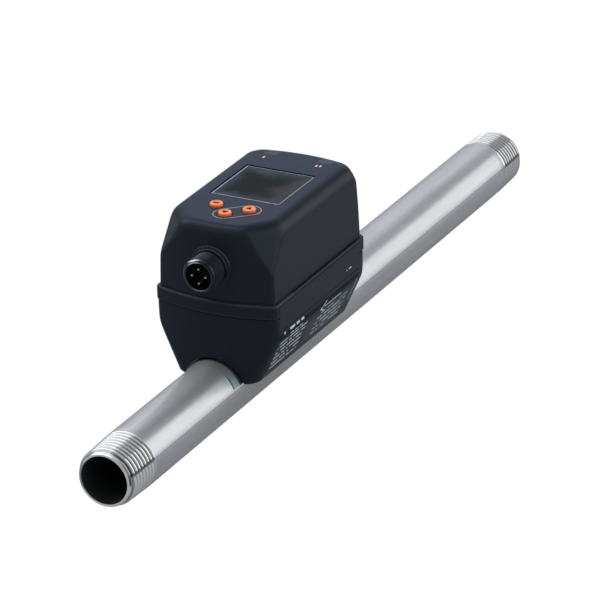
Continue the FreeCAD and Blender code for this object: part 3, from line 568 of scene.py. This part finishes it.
def rollOver(flat, tilt, radius, top, z):  # where a leaning wall stands at height z when it rolls into the top
    if z <= top - radius * (1 - math.sin(tilt)):
        return flat + (top - z) * math.tan(tilt)
    rise = math.asin(min(1, (z - top + radius) / radius))
    return flat - radius * math.tan((math.pi / 2 - tilt) / 2) + radius * math.cos(rise)


cover = {"top": 59.2, "inset": 1.1, "draft": 1.5, "cutTilt": 24, "frontCut": 6.5, "rearCut": 3.1,
         "topRound": 3.7, "sideRound": 5.2, "cutRound": 5.0, "leastRound": 0.8,
         "cornerLow": 1.8, "frontCorner": 7.0, "rearCorner": 3.2, "leastCorner": 0.6, "cornerFrom": 42, "cornerTo": 58,
         "wall": 2.4, "undercut": 0.22, "levelStep": 1.5, "windowRound": 0.5, "lightGap": 0.05}


def coverLevel(z, wall=0.0):
    top = cover["top"] - wall
    draft, tilt, turn = (math.radians(angle) for angle in (cover["draft"], cover["cutTilt"], head["cutTurn"]))
    drop = (cover["top"] - head["seam"]) * math.tan(draft)
    side = head["width"] / 2 - cover["inset"] - drop
    reach = bowRadius - cover["inset"] - drop
    support = side * math.cos(turn) + (math.sqrt(reach ** 2 - side ** 2) - bowCentre) * math.sin(turn)
    lean = wall * math.tan(draft)
    cuts = []
    for cut in ("frontCut", "rearCut"):
        flat = support - cover[cut] + wall * math.tan(tilt) - wall / math.cos(tilt)
        cuts.append(rollOver(flat, tilt, max(cover["cutRound"] - wall, cover["leastRound"]), top, z))
    grown = softStep(z + wall, cover["cornerFrom"], cover["cornerTo"])
    rounds = [max(cover["leastCorner"], cover["cornerLow"] + (cover[corner] - cover["cornerLow"]) * grown - wall)
              for corner in ("frontCorner", "rearCorner")]
    low = cover["undercut"] * (1 - softStep(z, head["seam"] + 0.25, head["seam"] + 0.4)) if not wall else 0
    walls = []
    for flat, roll in ((side, "sideRound"), (reach, "topRound")):
        walls.append(rollOver(flat + lean - wall, draft, max(cover[roll] - wall, cover["leastRound"]), top, z) - low)
    return levelRing(z, *walls, cuts, rounds)


def makeCover():
    top, seam, roll, step = cover["top"], head["seam"], cover["cutRound"], cover["levelStep"]
    arc = [top - roll + roll * math.sin(math.radians(k)) for k in range(0, 91, 6)]
    straight = [seam + 2 + k * step for k in range(int((top - roll - seam - 2) / step) + 1)]
    heights = [seam, seam + 0.25, seam + 0.4] + straight + arc
    shell = objectOf(loft([coverLevel(z) for z in sorted(set(heights))]), "coverShell")
    roof = top - cover["wall"]
    inside = (seam - 1, seam + 4, 40, 44, 47, 50, 52, 54, 55, 55.8, 56.4, roof)
    hollow = objectOf(loft([coverLevel(z, cover["wall"]) for z in inside]), "hollow")
    low, high = scaled(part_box("display_window"))
    gap, farGap, ledge = glass["gap"], glass["farGap"], glass["ledge"]
    round = cover["windowRound"]
    recess = (low[0] - farGap, low[1] - gap, low[2] - 0.01), (high[0] + gap, high[1] + farGap, top + 1)
    view = (low[0] + ledge, low[1] + ledge, roof - 1), (high[0] - ledge, high[1] - ledge, top)
    cutters = [hollow, block("recess", *recess, round), block("view", *view, round)]
    radius = key["radius"] + key["gap"]
    wide = radius + 0.3
    hole = [(0, roof - 1), (radius, roof - 1), (radius, top - 0.25), (wide, top + 0.05), (wide, top + 1), (0, top + 1)]
    for node in ("enter_button", "up_button", "down_button"):
        cutters.append(objectOf(turned(hole, (*centreOf(*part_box(node)), 0), steps=48), "keyHole"))
    gap = cover["lightGap"]
    for node in ("light_guide_right", "light_guide_left"):
        low, high = scaled(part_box(node))
        low, high = (low[0] - gap, low[1] - gap, roof - 3), (high[0] + gap, high[1] + gap, top + 1)
        cutters.append(block("lightHole", low, high))
    showShell(cutAway(shell, cutters), "coverShell", "cover_plastic", "upper_housing")


def showShell(mesh, name, slot, node):
    piece = showPiece(mesh, name, "meter", housingPlastic(slot), (node,), sharp=30)
    weigh = piece.modifiers.new("flat faces first", "WEIGHTED_NORMAL")
    weigh.keep_sharp, weigh.weight = True, 60
    print(name, "made:", len(mesh.polygons), "faces")


lower = {"foot": 3.7, "footWidth": 30.0, "crease": 19.6, "creaseSoft": 1.6, "bandHeight": 4.9, "endInset": 0.6,
         "roundTop": 2.6, "roundFoot": 5.4, "bandRound": 2.4, "groove": 0.55, "wall": 3.2, "floor": 4.8, "arch": 11.85,
         "levelStep": 0.9, "seamRoll": 0.7, "bossGap": 0.3}
sideSlope = (head["width"] - lower["footWidth"]) / 2 / (lower["crease"] - lower["foot"])


def sideAt(z, wall=0.0):  # the side wall's distance from the middle, with a soft crease
    upright = head["width"] / 2 - wall
    slant = lower["footWidth"] / 2 + (z - lower["foot"]) * sideSlope - wall * math.hypot(1, sideSlope)
    return (upright + slant) / 2 - math.hypot((upright - slant) / 2, lower["creaseSoft"] * 0.2)


def lowerLevel(z, wall=0.0, trim=0.0):
    side = sideAt(z, wall)
    inBand = z > head["seam"] - lower["bandHeight"] + 0.05
    reach = bowRadius - wall - (0 if inBand else lower["endInset"])
    spread = 1 - softStep(z, lower["foot"], 26)
    round = lower["bandRound"] if inBand else lower["roundTop"] + (lower["roundFoot"] - lower["roundTop"]) * spread
    return levelRing(z, side - trim, reach - trim, (None, None), (max(1.0, round - wall - trim),) * 2)


def bossRoom():  # what the lower housing and the saddle leave free for the boss
    low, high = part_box("sensor_boss")
    return rod("bossRoom", (high.x - low.x) / 2 / mm + lower["bossGap"], 0, 30)


def makeLower():
    foot, seam, groove, step, roll = lower["foot"], head["seam"], lower["groove"], lower["levelStep"], lower["seamRoll"]
    band = seam - lower["bandHeight"]
    rings = [(foot, 0.7), (foot + 0.12, 0.3), (foot + 0.5, 0)]  # each ring's height and how far it is drawn in
    rings += [(foot + 0.5 + k * step, 0) for k in range(1, int((band - foot - 1.2) / step) + 1)]
    rings += [(band - 0.55, 0), (band - 0.3, 0.12), (band - 0.12, groove), (band, groove), (band + 0.06, 0.35)]
    rings += [(z, 0) for z in (band + 0.35, band + 1.5, seam - 2, seam - roll)]
    for k in range(15, 91, 15):
        rings.append((seam - roll + roll * math.sin(math.radians(k)), 0.6 * (1 - math.cos(math.radians(k)))))
    shell = objectOf(loft([lowerLevel(z, trim=trim) for z, trim in rings]), "lowerShell")
    inside = (foot + lower["floor"], 12, 15, 17.5, 19, 20.5, 23, 26, 27.9, seam + 1)
    hollow = objectOf(loft([lowerLevel(z, lower["wall"]) for z in inside]), "hollow")
    arch = rod("arch", lower["arch"], -60, 60, "-Y", 96)
    keep = rod("keep", lower["arch"] + lower["wall"], -60, 60, "-Y", 96)
    hollow = addObject("hollow", cutAway(hollow, [keep]))
    showShell(cutAway(shell, [arch, hollow, bossRoom()]), "lowerShell", "lower_plastic", "lower_housing")


def housingPlastic(name):  # painted highlights on the rims of seam and band at the front, and a painted bluish reflection on the top
    finish = Finish(name)
    x, y, z = finish.axes()
    fine, broad = finish.noise(1800, 4), finish.noise(35, 2)
    band = head["seam"] - lower["bandHeight"]
    # painted highlights along the rims of seam and band
    paintedSeamHighlight = 1 - finish.step(abs(z - head["seam"] + 0.25), 0.2, 0.55)
    paintedBandHighlight = 1 - finish.step(abs(z - band - 0.3), 0.15, 0.4)
    rim = paintedSeamHighlight.most(paintedBandHighlight) * (y < headMiddle - 20)
    plain = finish.mix(broad, (0.0104, 0.0126, 0.0178), (0.0128, 0.0154, 0.0214))
    # a painted bluish reflection on the top
    plain = finish.mix(finish.step(z, cover["top"] - 0.5, cover["top"] - 0.1), plain, (0.0080, 0.0150, 0.0380))
    return finish.surface(
        Base_Color=finish.mix(rim * 0.32, plain, (0.060, 0.064, 0.072)),
        Roughness=0.36 + (broad - 0.5) * 0.08 + (fine - 0.5) * 0.06,
        Normal=finish.bump(fine, 0.02), Specular_IOR_Level=0.20, Specular_Tint=(0.76, 0.85, 1.0))


key = {"radius": 2.34, "top": 60.2, "round": 0.80, "dish": 1.45, "dishDepth": 0.30, "flange": 3.7, "flangeHeight": 0.9,
       "stem": 1.2, "gap": 0.12, "signHeight": 0.09}
keySigns = {
    "enter": [(-1.1, -0.40), (1.1, -0.40), (1.1, 0.40), (-1.1, 0.40)],
    "up": [(-1.1, -0.7), (1.1, -0.7), (0, 1.15)],
    "down": [(-1.1, 0.7), (0, -1.15), (1.1, 0.7)],
}


def makeKeys():
    roof, top, radius, round, dish = cover["top"] - cover["wall"], key["top"], key["radius"], key["round"], key["dish"]
    under, dished = roof - key["flangeHeight"], top - key["dishDepth"]
    orange = keyRubber()
    dark = mouldedPlastic("key_mark", (0.012, 0.004, 0.003), (0.020, 0.006, 0.004), 0.6, shine=0.15)
    for name, sign in keySigns.items():
        low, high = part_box(name + "_button")
        centre = (*centreOf(low, high), 0)
        profile = [(0, low.z / mm), (key["stem"], low.z / mm), (key["stem"], under)]
        profile += [(key["flange"], under), (key["flange"], roof), (radius, roof)]
        for k in range(0, 91, 15):
            angle = math.radians(k)
            profile.append((radius - round + round * math.cos(angle), top - round + round * math.sin(angle)))
        profile += [(dish + 0.2, top - 0.02), (dish + 0.06, top - 0.08), (dish - 0.05, dished + 0.06)]
        profile += [(dish - 0.2, dished), (0, dished)]
        body, node = name + "_key", name + "_button"
        showPiece(turned(profile, centre), name + "Key", body, orange, (node,), sharp=40)
        bm = bmesh.new()
        height = (dished - 0.05) * mm
        corners = [bm.verts.new(((centre[0] + x) * mm, (centre[1] + y) * mm, height)) for x, y in sign]
        pullOut(bm, bmesh.ops.contextual_create(bm, geom=corners)["faces"], (0, 0, key["signHeight"]))
        showPiece(bm, name + "Mark", body, dark)
    print("keys made")


def keyRubber():
    finish = Finish("button_orange")
    broad = finish.noise(500, 3)
    x, y, z = finish.axes()
    # painted highlight: the key's top rim is paler
    rim = finish.step(z, key["top"] - 0.45, key["top"] - 0.02)
    plain = finish.mix(broad, (0.86, 0.135, 0.026), (0.95, 0.180, 0.040))
    return finish.surface(
        Base_Color=finish.mix(rim, plain, (1.0, 0.40, 0.15)), Roughness=0.38 + (broad - 0.5) * 0.1,
        Normal=finish.bump(broad, 0.01))


ringLine = {"radius": 4.1, "width": 0.27, "height": 0.04}


def makeRingLine():  # the thin line round the two arrow keys
    ends = []
    for node in ("down_button", "up_button"):
        low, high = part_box(node)
        ends.append(Vector(((low.x + high.x) / 2, (low.y + high.y) / 2, cover["top"] * mm)))
    way = (ends[1] - ends[0]).normalized()
    left = Vector((-way.y, way.x, 0))
    bm = bmesh.new()
    bmesh.ops.create_circle(bm, segments=72, radius=ringLine["radius"] * mm)
    for vert in bm.verts:  # the circle parts in the middle and becomes a track round both keys
        around = vert.co.copy()
        vert.co = (ends[1] if around.x > 0 else ends[0]) + way * around.x + left * around.y
    inner = bmesh.ops.extrude_edge_only(bm, edges=bm.edges[:])["geom"]
    share = 1 - ringLine["width"] / ringLine["radius"]
    for vert in vertsOf(inner):
        centre = min(ends, key=lambda end: (vert.co - end).length)
        around = vert.co - centre
        along = around.dot(way)
        outward = along > 0 if centre is ends[1] else along < 0
        vert.co = centre + (around * share if outward else way * along + left * around.dot(left) * share)
    pullOut(bm, bm.faces[:], (0, 0, ringLine["height"]))
    line = mouldedPlastic("ring_line", (0.36, 0.325, 0.31), (0.50, 0.455, 0.43), 0.45)
    showPiece(bm, "ringLine", "meter", line)
    print("ring line made")


glass = {"top": 59.05, "border": 0.60, "slope": 0.12, "gap": 0.10, "farGap": 0.55, "ledge": 1.4}


def makeWindow():
    low, high = scaled(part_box("display_window"))
    bm = boxMesh(low, (*high[:2], glass["top"]))
    upper = [face for face in bm.faces if face.normal.z > 0.9]
    bmesh.ops.inset_region(bm, faces=upper, thickness=glass["border"] * mm, depth=glass["slope"] * mm)
    bmesh.ops.translate(bm, verts=upper[0].verts, vec=(0, 0, -glass["slope"] * mm))
    flat = set(upper[0].verts)
    for vert in bm.verts:
        if vert.co.z > (glass["top"] - 0.05) * mm and vert not in flat:
            vert.co.z -= glass["slope"] * mm
    piece = showPiece(bm, "displayGlass", "meter", windowGlass(), ("display_window",), sharp=3)
    piece.data.materials.append(glassEdgeHighlight(high[0]))
    for face in piece.data.polygons:  # the four narrow faces round the top carry the painted highlight line
        face.material_index = int(face.normal.z > 0.3 and face.area < 1e-4)
    print("window made")


def glassEdgeHighlight(right):  # a painted highlight: the pale line round the glass, fainter on the right
    finish = Finish("glass_edge_highlight")
    x, y, z = finish.axes()
    side = finish.step(x, right - glass["border"] - 0.1, right - glass["border"] + 0.05)
    return finish.surface(Base_Color=finish.mix(side, (0.62, 0.64, 0.67), (0.30, 0.31, 0.34)), Roughness=0.3)


marks = {"bars": [(-11.0, 24.5), (8.95, 24.6), (10.35, 24.9)], "width": 0.55, "length": 1.5, "height": 0.03,
         "edge": 0.32, "above": 0.02, "sunk": 0.01}


def makeMarks():
    pale = mouldedPlastic("mark_white", (0.60, 0.56, 0.55), (0.75, 0.70, 0.68), 0.5)
    red = mouldedPlastic("mark_red", (0.45, 0.06, 0.03), (0.55, 0.10, 0.05), 0.5)
    for number, (x, y) in enumerate(marks["bars"]):
        for name, grow, paint, up in (("Edge", marks["edge"], red, 0.0), ("Bar", 0.0, pale, marks["above"])):
            bm = bmesh.new()
            bmesh.ops.create_circle(bm, cap_ends=True, segments=24, radius=(marks["width"] + grow) / 2 * mm)
            stretch = (marks["length"] - marks["width"]) / 2 * mm
            for vert in bm.verts:
                vert.co.y += stretch if vert.co.y > 0 else -stretch
            pullOut(bm, bm.faces[:], (0, 0, marks["height"] + up))
            place = (x * mm, (y + headMiddle) * mm, cover["top"] * mm - marks["sunk"] * mm)
            bmesh.ops.translate(bm, verts=bm.verts, vec=place)
            showPiece(bm, "lightMark" + name + str(number + 1), "meter", paint)
    print("light marks made")


plugShell = {"height": 44.3, "front": 66.3, "bore": 4.75, "boreDepth": 7.9, "lip": 5.2, "thread": 5.95, "root": 5.45,
             "threadFrom": 1.5, "pitch": 1.0, "turns": 6, "neck": 5.5, "step": 6.7, "stepHeight": 1.4,
             "shoulder": 7.6, "shoulderHeight": 0.7, "seat": 9.2, "tail": 5.5}
plugPins = {"count": 4, "circle": 2.5, "radius": 0.5}


def makeConnector():
    low, high = scaled(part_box("connector_shell"))
    length, deep, tail, inner = high[1] - low[1], plugShell["boreDepth"], plugShell["tail"], plugShell["bore"] - 0.2
    bore, lip, thread, root = (plugShell[name] for name in ("bore", "lip", "thread", "root"))
    profile = [(bore, deep), (bore, 0.25), (bore + 0.15, 0.06), (lip - 0.1, 0.0), (lip + 0.05, 0.06)]
    profile += [(thread - 0.05, 0.75), (thread, 0.9), (thread, 1.35)]
    for turn in range(plugShell["turns"]):
        at = plugShell["threadFrom"] + turn * plugShell["pitch"]
        profile += [(root, at + 0.28), (root, at + 0.36), (thread - 0.06, at + 0.72), (thread, at + 0.82)]
        profile += [(thread - 0.03, at + 0.95)]
    neck, step, shoulder, seat = (plugShell[name] for name in ("neck", "step", "shoulder", "seat"))
    neckFrom = plugShell["threadFrom"] + plugShell["turns"] * plugShell["pitch"] + 0.05
    stepAt, shoulderAt = seat - plugShell["stepHeight"], seat - plugShell["shoulderHeight"]
    profile += [(neck, neckFrom), (neck, stepAt), (step - 0.15, stepAt), (step, stepAt + 0.15), (step, shoulderAt)]
    profile += [(shoulder - 0.35, shoulderAt), (shoulder - 0.08, shoulderAt + 0.1), (shoulder, shoulderAt + 0.35)]
    profile += [(shoulder, seat), (tail, seat), (tail, length), (inner, length), (inner, deep), (bore, deep)]
    centre = (0, plugShell["front"], plugShell["height"])
    bm = turned([(radius, -along) for radius, along in profile], centre, "-Y", 96)
    showPiece(bm, "connectorShell", "meter", shellCoat(), ("connector_shell",), sharp=30)

    low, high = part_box("connector_pins")
    front, length = low.y / mm, (high.y - low.y) / mm
    radius, circle = plugPins["radius"], plugPins["circle"]
    profile = [(0, -length), (radius, -length), (radius, -0.35), (radius - 0.08, -0.15), (radius / 2, -0.03), (0, 0)]
    bm = bmesh.new()
    for number in range(plugPins["count"]):
        angle = math.tau * number / plugPins["count"]
        centre = (circle * math.cos(angle), front, plugShell["height"] + circle * math.sin(angle))
        pin = turned(profile, centre, "-Y", 24)
        mesh = bpy.data.meshes.new("pin")
        pin.to_mesh(mesh)
        bm.from_mesh(mesh)
        pin.free()
        bpy.data.meshes.remove(mesh)
    showPiece(bm, "connectorPins", "meter", pinMetal(), ("connector_pins",), sharp=40)
    print("connector made")


def shellCoat():  # dark nickel, with painted highlights at the lip and its chamfer
    finish = Finish("connector_nickel")
    x, y, z = finish.axes()
    fine = finish.noise(500, 3)
    height = z - plugShell["height"]
    radius = (x * x + height * height) ** 0.5
    # painted highlights on the lip, strongest toward the upper left, faint at the bottom
    lip = (1 - finish.step(y, 66.5, 66.8)) * (1 - finish.step(abs(radius - 4.95), 0.12, 0.3))
    upper = height * 0.94 - x * 0.34  # toward the upper left, where the light comes from
    arc = finish.step(upper, 4.2, 4.9).most(finish.step(0 - height, 4.1, 4.9) * 0.15)
    paintedChamferHighlight = finish.step(upper, 5.15, 5.6) * (1 - finish.step(y, 67.0, 67.2))
    # painted shade in the thread's roots
    crest = finish.step(radius, plugShell["root"], plugShell["thread"] - 0.05)
    nickel = finish.mix(fine, (0.006, 0.0075, 0.010), (0.010, 0.012, 0.016))
    plain = finish.mix(crest, (0.003, 0.0035, 0.005), nickel)
    # painted highlights on the edges of the shoulder and the step, toward the top
    edge = finish.step(radius, 7.2, 7.45).most(finish.step(radius, 6.3, 6.6) * (radius < 6.75))
    plain = finish.mix(edge * finish.step(height + x * 0.3, 1.0, 6.0), plain, (0.048, 0.053, 0.062))
    return finish.surface(
        Base_Color=finish.mix((lip * (0.05 + arc * 0.95)).most(paintedChamferHighlight), plain, (0.60, 0.62, 0.64)), Metallic=0.1,
        Roughness=0.25 + fine * 0.06, Specular_IOR_Level=0.42, Specular_Tint=(0.72, 0.84, 1.0))


def pinMetal():  # painted highlights on the tips, and painted shade on the pins
    finish = Finish("pin_gold")
    x, y, z = finish.axes()
    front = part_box("connector_pins")[0].y / mm
    paintedTipHighlight = 1 - finish.step(y, front, front + 0.06)
    return finish.surface(
        Base_Color=finish.mix(paintedTipHighlight, (0.03, 0.03, 0.028), (1.0, 0.98, 0.93)), Metallic=0.3 - paintedTipHighlight * 0.3, Roughness=0.3)


label = {"thickness": 0.15, "front": -30.4, "rear": 28.0, "top": 31.9, "reach": 14.0}


def makeLabel():  # an outline in x and z, drawn out along the tube
    crease = lower["crease"]
    heights = [label["top"], crease + 3, *[crease + 1.5 - k * 0.5 for k in range(7)], crease - 3]
    heights.append(crease - label["reach"] / math.hypot(sideSlope, 1))
    inner = [(sideAt(z) + 0.01, z) for z in heights]
    outer = [(x + label["thickness"] - 0.02, z) for x, z in inner]
    front = (headMiddle + label["front"]) * mm
    bm = bmesh.new()
    corners = [bm.verts.new((x * mm, front, z * mm)) for x, z in inner + outer[::-1]]
    face = bmesh.ops.contextual_create(bm, geom=corners)["faces"]
    pullOut(bm, face, (0, label["rear"] - label["front"], 0))
    showPiece(bm, "sideLabel", "meter", labelFilm(), ("side_label",), sharp=30)
    print("label made")


saddle = {"radius": 10.69, "thickness": 0.42, "angle": 138, "front": -40.5, "rear": 40.5, "bevel": 5.0, "lip": 0.06,
          "steps": 60}


def makeSaddle():
    bm = bmesh.new()
    inner, outer = saddle["radius"], saddle["radius"] + saddle["thickness"]
    front, rear, bevel = saddle["front"], saddle["rear"], saddle["bevel"]
    lip = inner + saddle["lip"]
    outline = [(inner, front), (lip, front), (outer, front + bevel), (outer, rear - bevel), (lip, rear), (inner, rear)]
    start = math.radians(90 - saddle["angle"] / 2)
    verts = [bm.verts.new((radius * math.cos(start) * mm, (headMiddle + y) * mm, radius * math.sin(start) * mm))
             for radius, y in outline]
    face = bmesh.ops.contextual_create(bm, geom=verts)["faces"]
    bmesh.ops.spin(bm, geom=face, cent=(0, 0, 0), axis=(0, -1, 0), angle=math.radians(saddle["angle"]),
                   steps=saddle["steps"], use_merge=False)
    mesh = cutAway(objectOf(bm, "saddleBody"), [bossRoom()])
    showPiece(mesh, "saddlePlate", "meter", saddleSteel(), ("tube_saddle",), sharp=40)
    print("saddle made")


def saddleSteel():  # painted shadow of the head in the middle and along the front edge on the right, and a painted cool reflection toward the right
    finish = Finish("saddle_steel")
    x, y, z = finish.axes()
    half = head["length"] / 2
    # painted shadow along the front edge on the right
    edge = (y < (headMiddle + saddle["front"] + 0.5)) * finish.step(x, 6.5, 8.5)
    shade = 1 - finish.step(abs(y - headMiddle), half - 0.6, half + 0.1)
    marks = finish.noise(420, 5, 0.7, stretch=(1, 5, 1))
    ground = finish.mix(marks, (0.44, 0.44, 0.45), (0.58, 0.58, 0.585))
    # a painted cool reflection toward the right
    ground = finish.mix(finish.step(x, 5.0, 8.5), ground, (0.30, 0.36, 0.41))
    return finish.surface(
        Base_Color=finish.mix(edge.most(shade * 0.8), ground, (0.03, 0.04, 0.05)), Metallic=0.8,
        Roughness=0.36 + (marks - 0.5) * 0.08, Normal=finish.brushed(y, 0.20))


def guidePlastic():  # smoky, paler in the middle where the light comes out
    finish = Finish("guide_plastic")
    x, y, z = finish.axes()
    low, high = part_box("light_guide_right")
    middle, half = abs(low.x + high.x) / 2 / mm, (high.x - low.x) / 2 / mm
    pale = 1 - finish.step(abs(abs(x) - middle), half * 0.55, half * 0.75)
    return finish.surface(
        Base_Color=finish.mix(pale, (0.0092, 0.0118, 0.0176), (0.021, 0.034, 0.068)), Roughness=0.3,
        Specular_IOR_Level=0.36, Specular_Tint=(0.63, 0.77, 1.0))


steelNodes = {  # nodes that keep their own shape: the finish's name, its colour and roughness
    "sensor_boss": ("boss_steel", (0.60, 0.60, 0.61), 0.3),
    "probe_body": ("probe_steel", (0.66, 0.66, 0.67), 0.2),
    "heated_sensor": ("probe_steel_heated", (0.66, 0.66, 0.67), 0.2),
    "reference_sensor": ("probe_steel_reference", (0.66, 0.66, 0.67), 0.2),
    "probe_leads": ("lead_gold", (0.85, 0.62, 0.25), 0.25),
    "probe_screws": ("screw_steel", (0.60, 0.60, 0.60), 0.3),
    "board_screws": ("board_screw_steel", (0.60, 0.60, 0.60), 0.3),
    "head_nut": ("nut_brass", (0.70, 0.55, 0.30), 0.3),
    "connector_nut": ("connector_nut_nickel", (0.60, 0.60, 0.58), 0.25),
}
boardGreen = (0.01, 0.06, 0.03), (0.015, 0.08, 0.04), 0.4
plasticNodes = {  # the finish's name, its dark and light colour, and roughness
    "probe_header": ("header_glass", (0.02, 0.05, 0.04), (0.03, 0.07, 0.06), 0.15),
    "main_board": ("board_green", *boardGreen),
    "display_board": ("display_board_green", *boardGreen),
    "connector_board": ("connector_board_green", *boardGreen),
    "display_module": ("module_plastic", (0.02, 0.02, 0.022), (0.03, 0.03, 0.033), 0.35),
    "switches": ("switch_plastic", (0.02, 0.02, 0.02), (0.04, 0.04, 0.04), 0.45),
    "indicator_leds": ("led_plastic", (0.6, 0.6, 0.5), (0.8, 0.8, 0.7), 0.3),
    "board_link": ("link_film", (0.25, 0.10, 0.02), (0.35, 0.15, 0.03), 0.35),
    "connector_link": ("connector_link_film", (0.25, 0.10, 0.02), (0.35, 0.15, 0.03), 0.35),
    "connector_insert": ("insert_plastic", (0.004, 0.004, 0.005), (0.007, 0.007, 0.008), 0.6),
}


def paintNodes():
    kept = {node: groundSteel(*values) for node, values in steelNodes.items()}
    kept.update({node: mouldedPlastic(*values) for node, values in plasticNodes.items()})
    kept["light_guide_right"] = kept["light_guide_left"] = guidePlastic()
    for node in ("probe_seal", "housing_seal", "connector_seal"):
        kept[node] = mouldedPlastic(node + "_rubber", (0.006, 0.006, 0.006), (0.010, 0.010, 0.010), 0.7)
    for name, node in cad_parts.items():
        if name in kept:
            node.data.materials.clear()
            node.data.materials.append(kept[name])
    print("nodes painted:", len(kept))


makeCamera()
makeStudio()
makeTube()
makeCover()
makeLower()
makeWindow()
makeKeys()
makeRingLine()
makeMarks()
makeConnector()
makeLabel()
makeSaddle()
paintNodes()
